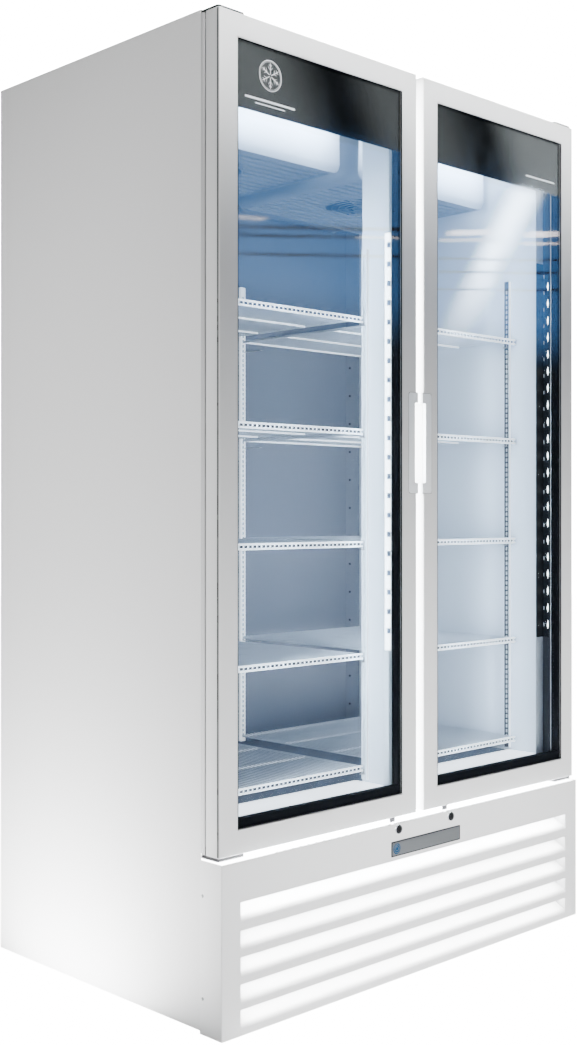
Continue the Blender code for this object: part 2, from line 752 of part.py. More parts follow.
def add_housing(side, sign):
    """An open-topped fan cowl with a round port below and a return opening behind."""
    x_pair = span(sign * HOUSING_INNER_X, sign * HOUSING_OUTER_X)
    y_pair = (HOUSING_FRONT, HOUSING_REAR)
    z_pair = (HOUSING_BOTTOM, CAVITY_TOP - GAP)
    inside = box_between(
        (x_pair[0] + HOUSING_WALL, x_pair[1] - HOUSING_WALL),
        (y_pair[0] + HOUSING_WALL, y_pair[1] - HOUSING_WALL),
        (z_pair[0] + HOUSING_WALL, z_pair[1] + THROUGH),
    )
    back_opening = box_between(
        (x_pair[0] + RETURN_MARGIN_X, x_pair[1] - RETURN_MARGIN_X),
        (y_pair[1] - HOUSING_WALL - THROUGH, y_pair[1] + THROUGH),
        (z_pair[0] + RETURN_MARGIN_Z, z_pair[1] - RETURN_MARGIN_Z),
    )
    name = f"{side}_fan_housing"
    housing = blocks_object(
        name, [box_between(x_pair, y_pair, z_pair)], LINER, [inside, back_opening]
    )
    fan = (sign * HOUSING_CENTRE_X, HOUSING_CENTRE_Y, EVAPORATOR_FAN_Z)
    cut(housing, cylinder_object(
        f"{name}_port", FAN_PORT_RADIUS, 4 * HOUSING_WALL,
        (fan[0], fan[1], HOUSING_BOTTOM), "Z", LINER,
    ))
    motor_low = EVAPORATOR_FAN_Z + FAN_HUB_DEPTH / 2 + MOTOR_CLEARANCE
    bar_low = motor_low + MOTOR_DEPTH - CROSSBAR
    bar = blocks_object(
        f"{name}_crossbar",
        [box_between(
            (x_pair[0] + HOUSING_WALL / 2, x_pair[1] - HOUSING_WALL / 2),
            (fan[1] - CROSSBAR, fan[1] + CROSSBAR), (bar_low, bar_low + CROSSBAR / 2),
        )],
        LINER,
    )
    motor = cylinder_object(
        f"{name}_motor", MOTOR_RADIUS, MOTOR_DEPTH,
        (fan[0], fan[1], motor_low + MOTOR_DEPTH / 2), "Z", LINER,
    )
    join(housing, bar, motor)
    add_fan(f"{side}_evaporator_fan", fan, "Z", FAN_RADIUS, FAN_CHORD)


COIL_HALF_LENGTH = 0.450
COIL_BOTTOM = 1.806
COIL_TOP = 1.924
COIL_FRONT = DOOR_FRONT + 0.652
COIL_REAR = DOOR_FRONT + 0.698
FIN_DEPTH = 0.006
FIN_THICKNESS = 0.002
EVAPORATOR_FINS = 18


def finned_blocks(x_pair, y_pair, z_pair, fins):
    """A coil core with upright fins standing out in front and behind."""
    blocks = [box_between(x_pair, (y_pair[0] + FIN_DEPTH, y_pair[1] - FIN_DEPTH), z_pair)]
    pitch = (x_pair[1] - x_pair[0] - FIN_THICKNESS) / (fins - 1)
    for i in range(fins):
        x = x_pair[0] + i * pitch
        blocks.append(box_between((x, x + FIN_THICKNESS), y_pair, z_pair))
    return blocks


add_housing("left", -1)
add_housing("right", 1)
blocks_object(
    "evaporator_coil",
    finned_blocks(
        (-COIL_HALF_LENGTH, COIL_HALF_LENGTH), (COIL_FRONT, COIL_REAR),
        (COIL_BOTTOM, COIL_TOP), EVAPORATOR_FINS,
    ),
    ALUMINIUM,
)


# ---------------------------------------------------------------- front grille and locks

def add_grille():
    """A folded sheet cover with five louvred slots, two lock holes and two cam notches."""
    front, skin = GRILLE_FRONT, GRILLE_FRONT + GRILLE_SHEET
    rear = CABINET_FRONT - GAP
    wide = (-GRILLE_HALF_WIDTH, GRILLE_HALF_WIDTH)
    tall = (GRILLE_BOTTOM, GRILLE_TOP)
    blocks = [
        box_between(wide, (front, skin), tall),
        box_between(wide, (front, rear), (GRILLE_TOP - GRILLE_SHEET, GRILLE_TOP)),
        box_between(
            wide, (front, front + GRILLE_LIP), (GRILLE_BOTTOM, GRILLE_BOTTOM + GRILLE_SHEET)
        ),
    ]
    for sign in (-1, 1):
        x_pair = span(sign * GRILLE_HALF_WIDTH, sign * (GRILLE_HALF_WIDTH - GRILLE_SHEET))
        blocks.append(box_between(x_pair, (front, rear), tall))
    slot_x = (-SLOT_HALF_WIDTH, SLOT_HALF_WIDTH)
    slot_y = (front - THROUGH, skin + THROUGH)
    holes = [box_between(slot_x, slot_y, (top - SLOT_HEIGHT, top)) for top in SLOT_TOPS]
    grille = blocks_object("front_grille", blocks, WHITE, holes)
    for number, top in enumerate(SLOT_TOPS, start=1):
        join(grille, louvre_object(number, top - SLOT_HEIGHT))
    for number, lock_x in enumerate(LOCK_X, start=1):
        cut(grille, cylinder_object(
            f"lock_hole_{number}", LOCK_HOLE_RADIUS, THROUGH, (lock_x, front, LOCK_Z), "Y", WHITE
        ))
        notch = box_between(
            (lock_x - CAM_LENGTH - CAM_NOTCH_MARGIN, lock_x - CAM_HALF_WIDTH),
            (CAM_FRONT - CAM_NOTCH_MARGIN, CAM_FRONT + CAM_THICKNESS + CAM_NOTCH_MARGIN),
            (GRILLE_TOP - CAM_NOTCH_HALF_HEIGHT, GRILLE_TOP + CAM_NOTCH_HALF_HEIGHT),
        )
        cut(grille, blocks_object(f"cam_notch_{number}", [notch], WHITE))


def side_profile_object(name, outline, x_pair, mat):
    """An outline of (y, z) points extruded along X."""
    bm = bmesh.new()
    near = [bm.verts.new((x_pair[0], y, z)) for y, z in outline]
    far = [bm.verts.new((x_pair[1], y, z)) for y, z in outline]
    bm.faces.new(near)
    bm.faces.new(far)
    for i in range(len(outline)):
        j = (i + 1) % len(outline)
        bm.faces.new((near[i], near[j], far[j], far[i]))
    origin = ((x_pair[0] + x_pair[1]) / 2, outline[0][0], outline[0][1])
    return add_object(name, finish_mesh(name, bm, origin), origin, mat)


def louvre_object(number, slot_bottom):
    """A blade that starts at a slot's lower edge and leans back and up."""
    y0, y1 = GRILLE_FRONT + GRILLE_SHEET / 3, GRILLE_FRONT + LOUVRE_DEPTH
    z0, z1 = slot_bottom - LOUVRE_SHEET, slot_bottom + LOUVRE_RISE
    outline = [(y0, z0), (y1, z1 - LOUVRE_SHEET), (y1, z1), (y0, z0 + LOUVRE_SHEET)]
    reach = SLOT_HALF_WIDTH + GRILLE_SHEET
    return side_profile_object(f"louvre_{number}", outline, (-reach, reach), WHITE)


def add_lock(side, lock_x):
    """A cylinder lock with its cam; it turns about its own origin along Y."""
    length = CAM_FRONT + CAM_THICKNESS / 2 - LOCK_FACE
    centre = (lock_x, LOCK_FACE + length / 2, LOCK_Z)
    plug = cylinder_object(f"{side}_door_lock", LOCK_RADIUS, length, centre, "Y", CHROME)
    cam = block_bmesh([(
        (0.0, CAM_FRONT, -CAM_HALF_WIDTH), (CAM_LENGTH, CAM_FRONT + CAM_THICKNESS, CAM_HALF_WIDTH)
    )])
    for v in cam.verts:
        x, z = v.co.x, v.co.z
        v.co.x = x * math.cos(CAM_REST_ANGLE) - z * math.sin(CAM_REST_ANGLE)
        v.co.z = x * math.sin(CAM_REST_ANGLE) + z * math.cos(CAM_REST_ANGLE)
    mesh = finish_mesh(f"{side}_lock_cam", cam)
    join(plug, add_object(f"{side}_lock_cam", mesh, (lock_x, 0.0, LOCK_Z), CHROME))


add_grille()
for side, lock_x in zip(("left", "right"), LOCK_X):
    add_lock(side, lock_x)


# ---------------------------------------------------------------- machine compartment

FOOT_X = 0.545
FOOT_Y = (DOOR_FRONT + 0.110, DOOR_FRONT + 0.715)
CONDENSER_X = (-0.330, 0.030)
CONDENSER_Y = (DOOR_FRONT + 0.075, DOOR_FRONT + 0.120)
CONDENSER_TOP = 0.300
CONDENSER_FINS = 16
CONDENSER_FAN = (-0.150, DOOR_FRONT + 0.150, 0.165)
CONDENSER_FAN_RADIUS = 0.100
CONDENSER_MOTOR_RADIUS = 0.034
CONDENSER_FAN_CHORD = 0.050
CONDENSER_MOTOR_DEPTH = 0.060
STAND_HALF_WIDTH = 0.025
STAND_BASE = 0.004
STAND_LAP = 0.010
STAND_POST = (0.020, 0.010)  # distances ahead of the motor's rear face
COMPRESSOR_AT = (-0.330, DOOR_FRONT + 0.520)
COMPRESSOR_FOOT = (0.100, 0.070, 0.006)

# Turned outlines as (radius, height)
FOOT_PROFILE = (
    (0.019, 0.0), (0.019, 0.006), (0.01045, 0.010), (0.0057, 0.012),
    (0.0057, PAN_TOP - PAN_SHEET - GAP),
)
COMPRESSOR_PROFILE = (
    (0.068, 0.004), (0.08075, 0.020), (0.085, 0.040), (0.085, 0.130), (0.0765, 0.165),
    (0.0527, 0.188), (0.02125, 0.198),
)


def add_base_pan():
    """A shallow tray turned upside down, with its rim reaching down."""
    blocks = [box_between(
        (-WALL_OUTER, WALL_OUTER), (PAN_FRONT, PAN_REAR), (PAN_BOTTOM, PAN_TOP)
    )]
    inside = box_between(
        (-WALL_OUTER + PAN_SHEET, WALL_OUTER - PAN_SHEET),
        (PAN_FRONT + PAN_SHEET, PAN_REAR - PAN_SHEET),
        (PAN_BOTTOM - THROUGH, PAN_TOP - PAN_SHEET),
    )
    blocks_object("base_pan", blocks, STEEL, [inside])


def add_feet():
    for side, x in (("left", -FOOT_X), ("right", FOOT_X)):
        for place, y in zip(("front", "rear"), FOOT_Y):
            turned_object(f"{place}_{side}_foot", FOOT_PROFILE, (x, y, 0.0), STEEL)


def add_condensing_unit():
    """The condenser coil with its fan motor on a stand behind it."""
    floor = PAN_TOP + GAP
    blocks = finned_blocks(
        CONDENSER_X, CONDENSER_Y, (floor, CONDENSER_TOP), CONDENSER_FINS
    )
    fan_x, fan_y, fan_z = CONDENSER_FAN
    motor_front = fan_y + FAN_HUB_DEPTH / 2 + MOTOR_CLEARANCE
    motor_rear = motor_front + CONDENSER_MOTOR_DEPTH
    stand_x = (fan_x - STAND_HALF_WIDTH, fan_x + STAND_HALF_WIDTH)
    base_y = (CONDENSER_Y[1] - STAND_LAP, motor_rear)
    post_y = (motor_rear - STAND_POST[0], motor_rear - STAND_POST[1])
    blocks.append(box_between(stand_x, base_y, (floor, floor + STAND_BASE)))
    blocks.append(box_between(stand_x, post_y, (floor, fan_z)))
    condenser = blocks_object("condenser_coil", blocks, ALUMINIUM)
    join(condenser, cylinder_object(
        "condenser_motor", CONDENSER_MOTOR_RADIUS, CONDENSER_MOTOR_DEPTH,
        (fan_x, (motor_front + motor_rear) / 2, fan_z), "Y", ALUMINIUM,
    ))
    add_fan("condenser_fan", CONDENSER_FAN, "Y", CONDENSER_FAN_RADIUS, CONDENSER_FAN_CHORD)


def add_compressor():
    """A welded can with a domed top on a mounting foot."""
    x, y = COMPRESSOR_AT
    base = PAN_TOP + GAP
    half_x, half_y, thickness = COMPRESSOR_FOOT
    can = turned_object("compressor", COMPRESSOR_PROFILE, (x, y, base), COMPRESSOR_BLACK)
    join(can, blocks_object(
        "compressor_foot",
        [box_between((x - half_x, x + half_x), (y - half_y, y + half_y), (base, base + thickness))],
        COMPRESSOR_BLACK,
    ))


add_base_pan()
add_feet()
add_condensing_unit()
add_compressor()
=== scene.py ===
"""Looks of a two-door upright glass door merchandiser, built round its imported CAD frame.

Metres, +Z up, +X to the right seen from the front, the doors face -Y.
"""
import json
import math

import bmesh
import bpy
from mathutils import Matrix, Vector


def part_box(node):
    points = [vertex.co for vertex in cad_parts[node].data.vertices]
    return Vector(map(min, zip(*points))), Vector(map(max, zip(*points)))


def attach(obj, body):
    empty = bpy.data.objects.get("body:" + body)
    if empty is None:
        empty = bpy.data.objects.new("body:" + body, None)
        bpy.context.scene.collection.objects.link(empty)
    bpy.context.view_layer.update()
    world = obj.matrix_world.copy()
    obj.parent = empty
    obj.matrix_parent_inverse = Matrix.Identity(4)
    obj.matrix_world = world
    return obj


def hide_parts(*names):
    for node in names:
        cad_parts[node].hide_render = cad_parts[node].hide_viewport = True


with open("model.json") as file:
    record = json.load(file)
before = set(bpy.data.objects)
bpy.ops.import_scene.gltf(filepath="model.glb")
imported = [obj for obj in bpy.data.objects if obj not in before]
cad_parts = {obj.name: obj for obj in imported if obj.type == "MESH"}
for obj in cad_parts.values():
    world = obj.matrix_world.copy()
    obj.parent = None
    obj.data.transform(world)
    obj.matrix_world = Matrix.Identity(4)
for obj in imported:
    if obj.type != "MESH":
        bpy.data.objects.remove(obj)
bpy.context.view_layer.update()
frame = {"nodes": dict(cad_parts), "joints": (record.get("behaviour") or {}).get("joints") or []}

SIDES = (("left", -1), ("right", 1))
NODES = frame["nodes"]
JOINTS = {joint["name"]: joint for joint in frame["joints"]}
SMOOTH_ANGLE = math.radians(35.0)


# ---------------------------------------------------------------- mesh helpers

def fillet(corners, steps=4):
    """A closed outline from (u, v, radius) corners, each rounded to its radius."""
    outline = []
    count = len(corners)
    for i, (u, v, radius) in enumerate(corners):
        if radius <= 0:
            outline.append((u, v))
            continue
        here = Vector((u, v))
        back = (Vector(corners[i - 1][:2]) - here).normalized()
        ahead = (Vector(corners[(i + 1) % count][:2]) - here).normalized()
        half = back.angle(ahead) / 2
        centre = here + (back + ahead).normalized() * (radius / math.sin(half))
        reach = radius / math.tan(half)
        first = here + back * reach - centre
        last = here + ahead * reach - centre
        start = math.atan2(first.y, first.x)
        turn = (math.atan2(last.y, last.x) - start + math.pi) % math.tau - math.pi
        for k in range(steps + 1):
            angle = start + turn * k / steps
            outline.append((centre.x + radius * math.cos(angle), centre.y + radius * math.sin(angle)))
    return outline


def rectangle(u_pair, v_pair, radius=0.0):
    (u0, u1), (v0, v1) = u_pair, v_pair
    return [(u0, v0, radius), (u1, v0, radius), (u1, v1, radius), (u0, v1, radius)]


def bent_path(points, radius, steps=4):
    """A 3-D line through points with its inner corners rounded to radius."""
    points = [Vector(point) for point in points]
    path = [points[0]]
    for before, here, after in zip(points, points[1:], points[2:]):
        back, ahead = (before - here).normalized(), (after - here).normalized()
        half = back.angle(ahead) / 2
        centre = here + (back + ahead).normalized() * (radius / math.sin(half))
        reach = radius / math.tan(half)
        first, last = here + back * reach - centre, here + ahead * reach - centre
        turn = first.angle(last)
        square = (last - first * math.cos(turn)) / math.sin(turn)
        for k in range(steps + 1):
            angle = turn * k / steps
            path.append(centre + first * math.cos(angle) + square * math.sin(angle))
    return path + [points[-1]]


def along(axis, u, v, w):
    """The point w along axis, with u and v on the two other axes in order."""
    point = [u, v]
    point.insert(axis, w)
    return point


def join_rings(bm, rings, closed=False):
    """Skins between successive rings of vertices; a ring of one vertex is a pole."""
    pairs = list(zip(rings, rings[1:]))
    if closed:
        pairs.append((rings[-1], rings[0]))
    for first, second in pairs:
        count = max(len(first), len(second))
        for i in range(count):
            j = (i + 1) % count
            corners = [first[i % len(first)], first[j % len(first)]]
            corners += [second[j % len(second)], second[i % len(second)]]
            bm.faces.new(list(dict.fromkeys(corners)))


def bevel_edges(bm, edges, bevel, segments):
    """Rounds edges by bevel, each once and always in the same order."""
    if bevel:
        geom = list(dict.fromkeys(edges))
        bmesh.ops.bevel(bm, geom=geom, offset=bevel, segments=segments, profile=0.5, affect="EDGES")


def add_prism(bm, outline, axis, low, high, bevel=0.0, segments=2):
    """An outline in the plane across axis, run from low to high along it."""
    rings = [[bm.verts.new(along(axis, u, v, w)) for u, v in outline] for w in (low, high)]
    join_rings(bm, rings)
    caps = [bm.faces.new(ring) for ring in rings]
    bevel_edges(bm, (edge for cap in caps for edge in cap.edges), bevel, segments)
    return bm


def add_box(bm, corner, opposite, bevel=0.0):
    """A block between two opposite corners, with all its edges rounded."""
    verts = bmesh.ops.create_cube(bm, size=1.0)["verts"]
    for vert in verts:
        for a in range(3):
            low, high = sorted((corner[a], opposite[a]))
            vert.co[a] = low if vert.co[a] < 0 else high
    bevel_edges(bm, (edge for vert in verts for edge in vert.link_edges), bevel, 2)
    return bm


def add_tube(bm, path, radius, sides=8):
    """A round rod along a path, closed at both ends."""
    path = [Vector(point) for point in path]
    rings = []
    side = None
    for i, point in enumerate(path):
        tangent = (path[min(i + 1, len(path) - 1)] - path[max(i - 1, 0)]).normalized()
        side = tangent.orthogonal() if side is None else side - tangent * side.dot(tangent)
        side.normalize()
        third = tangent.cross(side)
        angles = [math.tau * k / sides for k in range(sides)]
        rings.append([
            bm.verts.new(point + (side * math.cos(a) + third * math.sin(a)) * radius)
            for a in angles
        ])
    join_rings(bm, rings)
    bm.faces.new(rings[0])
    bm.faces.new(rings[-1])
    return bm


def add_turned(bm, profile, centre, axis, steps=32, closed=False):
    """(radius, height) points turned about an axis through centre."""
    others = [a for a in range(3) if a != axis]
    rings = []
    for radius, height in profile:
        count = 1 if radius == 0 else steps
        ring = []
        for k in range(count):
            point = Vector(centre)
            point[axis] += height
            point[others[0]] += radius * math.cos(math.tau * k / steps)
            point[others[1]] += radius * math.sin(math.tau * k / steps)
            ring.append(bm.verts.new(point))
        rings.append(ring)
    join_rings(bm, rings, closed)
    return bm


def add_picture_frame(bm, profile, x_pair, z_pair):
    """A (distance in, y) profile swept round a rectangle with mitred corners."""
    (x0, x1), (z0, z1) = x_pair, z_pair
    rings = []
    for x, z, dx, dz in ((x0, z0, 1, 1), (x1, z0, -1, 1), (x1, z1, -1, -1), (x0, z1, 1, -1)):
        rings.append([bm.verts.new((x + dx * inset, y, z + dz * inset)) for inset, y in profile])
    join_rings(bm, rings, closed=True)
    return bm


def x_ends(low, high, sign):
    """The x of a box's outer and inner end, for a box on the side that sign gives."""
    return (low.x, high.x) if sign < 0 else (high.x, low.x)


def drill(centre, axis, radius, reach, steps):
    """A cutter for a round hole that runs reach both ways from centre."""
    profile = [(0.0, -reach), (radius, -reach), (radius, reach), (0.0, reach)]
    return add_turned(bmesh.new(), profile, centre, axis, steps)


def add_slotted_sheet(bm, axis, u_cuts, v_cuts, w_pair, is_hole):
    """A sheet on a grid of cuts, thick along axis, without the cells where is_hole(i, j)."""
    layers = [[[None] * len(v_cuts) for _ in u_cuts] for _ in w_pair]
    solid = {
        (i, j)
        for i in range(len(u_cuts) - 1)
        for j in range(len(v_cuts) - 1)
        if not is_hole(i, j)
    }

    def vert(layer, i, j):
        if layers[layer][i][j] is None:
            layers[layer][i][j] = bm.verts.new(along(axis, u_cuts[i], v_cuts[j], w_pair[layer]))
        return layers[layer][i][j]

    for i, j in sorted(solid):
        corners = ((i, j), (i + 1, j), (i + 1, j + 1), (i, j + 1))
        for layer in (0, 1):
            bm.faces.new([vert(layer, *corner) for corner in corners])
        beside = ((i, j - 1), (i + 1, j), (i, j + 1), (i - 1, j))
        for k, cell in enumerate(beside):
            if cell not in solid:
                first, second = corners[k], corners[(k + 1) % 4]
                bm.faces.new((vert(0, *first), vert(0, *second), vert(1, *second), vert(1, *first)))


def link(name, bm, mat):
    """Turns bm into a linked object, smooth except at its sharp edges."""
    bmesh.ops.recalc_face_normals(bm, faces=bm.faces)
    mesh = bpy.data.meshes.new(name)
    bm.to_mesh(mesh)
    bm.free()
    mesh.shade_smooth()
    mesh.set_sharp_from_angle(angle=SMOOTH_ANGLE)
    mesh.materials.append(mat)
    obj = bpy.data.objects.new(name, mesh)
    bpy.context.collection.objects.link(obj)
    return obj


def piece(name, bm, mat, body, slot, *replaced):
    """A finished piece that rides on a CAD body, with the nodes it stands for; its record slot is not used.
    """
    obj = link(name, bm, mat)
    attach(obj, body)
    if replaced:
        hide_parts(*replaced)
    return obj


def carve(obj, *cutters):
    """Cuts each bmesh out of obj for good."""
    for bm in cutters:
        tool = link("cutter", bm, obj.data.materials[0])
        modifier = obj.modifiers.new("cut", "BOOLEAN")
        modifier.solver = "EXACT"
        modifier.object = tool
        bpy.context.view_layer.update()
        graph = bpy.context.evaluated_depsgraph_get()
        mesh = bpy.data.meshes.new_from_object(obj.evaluated_get(graph))
        obj.modifiers.clear()
        obj.data = mesh
        bpy.data.objects.remove(tool)
    obj.data.set_sharp_from_angle(angle=SMOOTH_ANGLE)


# ---------------------------------------------------------------- materials

def node_tree(name, shader_type=None):
    """A new material and its node tree, with the given shader in place of the usual one."""
    mat = bpy.data.materials.new(name)
    mat.use_nodes = True
    tree = mat.node_tree
    if shader_type is None:
        return mat, tree, tree.nodes["Principled BSDF"]
    tree.nodes.remove(tree.nodes["Principled BSDF"])
    return mat, tree, tree.nodes.new(shader_type)


def object_coordinates(tree):
    return tree.nodes.new("ShaderNodeTexCoord").outputs["Object"]


def mix_shaders(tree, factor, first, second, output):
    """Shows first where factor is 0 and second where it is 1."""
    mix = tree.nodes.new("ShaderNodeMixShader")
    tree.links.new(factor, mix.inputs["Fac"])
    tree.links.new(first, mix.inputs[1])
    tree.links.new(second, mix.inputs[2])
    tree.links.new(mix.outputs["Shader"], tree.nodes[output].inputs["Surface"])


def noise(tree, coords, scale, detail=3.0, squash=(1.0, 1.0, 1.0)):
    """A cloudy value from 0 to 1, scale clouds to the metre, squashed along each axis."""
    mapping = tree.nodes.new("ShaderNodeMapping")
    mapping.inputs["Scale"].default_value = squash
    tree.links.new(coords, mapping.inputs["Vector"])
    texture = tree.nodes.new("ShaderNodeTexNoise")
    texture.inputs["Scale"].default_value = scale
    texture.inputs["Detail"].default_value = detail
    tree.links.new(mapping.outputs["Vector"], texture.inputs["Vector"])
    return texture.outputs["Fac"]


def spread(tree, factor, low, high):
    """Stretches the middle of a noise value to run from low to high."""
    ranged = tree.nodes.new("ShaderNodeMapRange")
    ranged.inputs["From Min"].default_value = 0.3
    ranged.inputs["From Max"].default_value = 0.7
    ranged.inputs["To Min"].default_value = low
    ranged.inputs["To Max"].default_value = high
    tree.links.new(factor, ranged.inputs["Value"])
    return ranged.outputs["Result"]


def blend_colors(tree, factor, first, second):
    mix = tree.nodes.new("ShaderNodeMix")
    mix.data_type = "RGBA"
    mix.inputs["A"].default_value = (*first, 1.0)
    mix.inputs["B"].default_value = (*second, 1.0)
    tree.links.new(factor, mix.inputs["Factor"])
    return mix.outputs["Result"]


def bumped(tree, height, distance, under=None):
    bump = tree.nodes.new("ShaderNodeBump")
    bump.inputs["Distance"].default_value = distance
    tree.links.new(height, bump.inputs["Height"])
    if under is not None:
        tree.links.new(under, bump.inputs["Normal"])
    return bump.outputs["Normal"]


def surface(
    name, color, roughness, metallic=0.0, grain=500.0, depth=0.00002, mottle=0.03,
    rough_spread=0.05, stretch=(1.0, 1.0, 1.0), specular=0.5, ribs=None, glow=0.0,
):
    """A Principled surface with a fine bump, a slow colour mottle and uneven gloss.

    ribs is (axis, pitch, depth) for a surface with fine parallel ribs.
    """
    mat, tree, shader = node_tree(name)
    coords = object_coordinates(tree)
    slow = noise(tree, coords, 5.0, 2.0, stretch)
    fine = noise(tree, coords, grain, 3.0, stretch)
    dark = [c * (1.0 - mottle) for c in color]
    light = [min(1.0, c * (1.0 + mottle)) for c in color]
    tree.links.new(blend_colors(tree, slow, dark, light), shader.inputs["Base Color"])
    low, high = max(0.02, roughness - rough_spread), roughness + rough_spread
    smears = noise(tree, coords, 18.0, 4.0, stretch)
    tree.links.new(spread(tree, smears, low, high), shader.inputs["Roughness"])
    normal = bumped(tree, fine, depth)
    if ribs:
        axis, pitch, rib_depth = ribs
        wave = tree.nodes.new("ShaderNodeTexWave")
        wave.bands_direction = axis
        wave.inputs["Scale"].default_value = math.tau / 20.0 / pitch
        tree.links.new(coords, wave.inputs["Vector"])
        normal = bumped(tree, wave.outputs["Fac"], rib_depth, under=normal)
    tree.links.new(normal, shader.inputs["Normal"])
    shader.inputs["Metallic"].default_value = metallic
    shader.inputs["Specular IOR Level"].default_value = specular
    if glow:
        shader.inputs["Emission Color"].default_value = (*color, 1.0)
        shader.inputs["Emission Strength"].default_value = glow
    mat.diffuse_color = (*color, 1.0)
    return mat


def glass_surface(name, tint, ior):
    """Clear glass: it lets light straight through and mirrors what its Fresnel share mirrors."""
    mat, tree, clear = node_tree(name, "ShaderNodeBsdfTransparent")
    clear.inputs["Color"].default_value = (*tint, 1.0)
    coords = object_coordinates(tree)
    mirror = tree.nodes.new("ShaderNodeBsdfGlossy")
    smear = noise(tree, coords, 9.0, 4.0, (1.0, 1.0, 0.5))
    tree.links.new(spread(tree, smear, 0.01, 0.05), mirror.inputs["Roughness"])
    roll = bumped(tree, noise(tree, coords, 2.5, 1.0, (1.0, 1.0, 0.3)), 0.0006)
    tree.links.new(roll, mirror.inputs["Normal"])
    facing = tree.nodes.new("ShaderNodeLayerWeight")
    facing.inputs["Blend"].default_value = 0.5
    steep = tree.nodes.new("ShaderNodeMath")
    steep.operation = "POWER"
    steep.inputs[1].default_value = 5.0
    tree.links.new(facing.outputs["Facing"], steep.inputs[0])
    share = tree.nodes.new("ShaderNodeMapRange")
    share.inputs["To Min"].default_value = ((ior - 1.0) / (ior + 1.0)) ** 2
    tree.links.new(steep.outputs["Value"], share.inputs["Value"])
    mix_shaders(
        tree, share.outputs["Result"], clear.outputs["BSDF"], mirror.outputs["BSDF"], "Material Output"
    )
    return mat


def glowing(name, color, strength):
    """A glowing surface, a little uneven along its length, for the lit lamp lenses and for the glints
    painted beside the lamps as their reflections.
    """
    return surface(name, color, 0.3, grain=60.0, glow=strength)


PAINT = surface("white_powder_coat", (0.68, 0.685, 0.69), 0.36, grain=700.0, mottle=0.008)
BODY_PAINT = surface(
    "white_body_paint", (0.74, 0.742, 0.745), 0.36, grain=600.0, depth=0.00001, mottle=0.006,
    rough_spread=0.02,
)
GRILLE_PAINT = surface("white_grille_paint", (0.78, 0.785, 0.79), 0.36, grain=700.0, mottle=0.008)
# the white liner darkened to blue-grey: painted shade on the back wall and floor, while the side walls take
# the lighter copy below
LINER_PAINTED_SHADE = surface("white_liner_painted_shade", (0.155, 0.176, 0.225), 0.45, grain=260.0, depth=0.00004, mottle=0.05)
SIDE_LINER = surface("white_side_liner", (0.74, 0.80, 0.88), 0.42, grain=260.0, depth=0.00004)
# the white housing coloured mid blue-grey: painted shade, above all on its underside
HOUSING_PAINTED_SHADE = surface("white_housing_painted_shade", (0.35, 0.38, 0.43), 0.36, grain=300.0)
POST_WHITE = surface("white_post", (0.80, 0.86, 0.92), 0.34, grain=260.0, depth=0.00003)
CLEAR_WHITE = surface("white_moulding", (0.84, 0.87, 0.90), 0.32, grain=300.0)
# a white that glows: painted light on the covers seen in the gaps, not a lamp
GAP_PAINTED_LIGHT = surface("white_painted_light", (0.90, 0.92, 0.94), 0.40, grain=300.0, glow=16.0)
# the sill strip's glow is painted light on the floor, not a lamp
SILL_PAINTED_LIGHT = surface("sill_painted_light", (0.86, 0.91, 0.96), 0.35, grain=300.0, glow=3.0)
WIRE_COAT = surface("wire_coating", (0.74, 0.80, 0.88), 0.30, depth=0.00003)
# the shelves' front rails glow a little: painted light where the lamps catch them
RAIL_PAINTED_LIGHT = surface("rail_coating_painted_light", (0.86, 0.91, 0.96), 0.30, depth=0.00003, glow=2.0)
# pilaster flanges, back pilaster webs and shelf cross rods glow a little: painted light
STRIP_PAINTED_LIGHT = surface("strip_coating_painted_light", (0.84, 0.89, 0.95), 0.32, depth=0.00003, glow=1.1)
PRINT_WHITE = surface("white_print", (0.80, 0.82, 0.84), 0.35, grain=800.0)
SOFT_GREY = surface("grey_gasket", (0.50, 0.50, 0.51), 0.60, grain=900.0, depth=0.00005)
HINGE_GREY = surface("hinge_grey", (0.075, 0.075, 0.08), 0.40, grain=350.0, mottle=0.1)
# dark strip at the doors' outer edges: painted shade
EDGE_PAINTED_SHADE = surface("edge_painted_shade", (0.075, 0.075, 0.076), 0.30)
RUBBER = surface("grey_rubber", (0.10, 0.10, 0.11), 0.62, grain=900.0, depth=0.00006, mottle=0.15)
# near-black web for the side pilasters: painted shade on a strip that is white like the others
WEB_SHADE = surface("strip_web_painted_shade", (0.07, 0.075, 0.09), 0.45)
SHADOW = surface("shadow_band", (0.05, 0.055, 0.075), 0.6)
MARK = surface("lens_mark", (0.20, 0.27, 0.38), 0.5)
BLACK = surface("black_plastic", (0.012, 0.013, 0.016), 0.38, grain=900.0, depth=0.00004, mottle=0.2)
BLACK_GLOSS = surface(
    "black_print", (0.0015, 0.0016, 0.0018), 0.10, grain=120.0, depth=0.000002, mottle=0.3,
    specular=0.2,
)
JET = surface(
    "jet_seal", (0.004, 0.0045, 0.006), 0.45, grain=700.0, depth=0.00003, mottle=0.3, specular=0.15
)
CAN = surface("compressor_enamel", (0.016, 0.016, 0.017), 0.36, grain=300.0, depth=0.00005, mottle=0.2)
BLUE_PRINT = surface("blue_enamel", (0.02, 0.075, 0.16), 0.25, grain=400.0)
STEEL = surface(
    "zinc_plate", (0.50, 0.51, 0.53), 0.36, metallic=1.0, grain=350.0, depth=0.00003, mottle=0.12,
    rough_spread=0.10,
)
CHROME = surface(
    "polished_chrome", (0.72, 0.73, 0.75), 0.12, metallic=1.0, grain=900.0, depth=0.000003,
    mottle=0.05, rough_spread=0.04,
)
BADGE = surface(
    "brushed_badge", (0.155, 0.166, 0.175), 0.36, metallic=0.25, grain=300.0, depth=0.00001,
    mottle=0.06, rough_spread=0.06, stretch=(0.03, 1.0, 6.0),
)
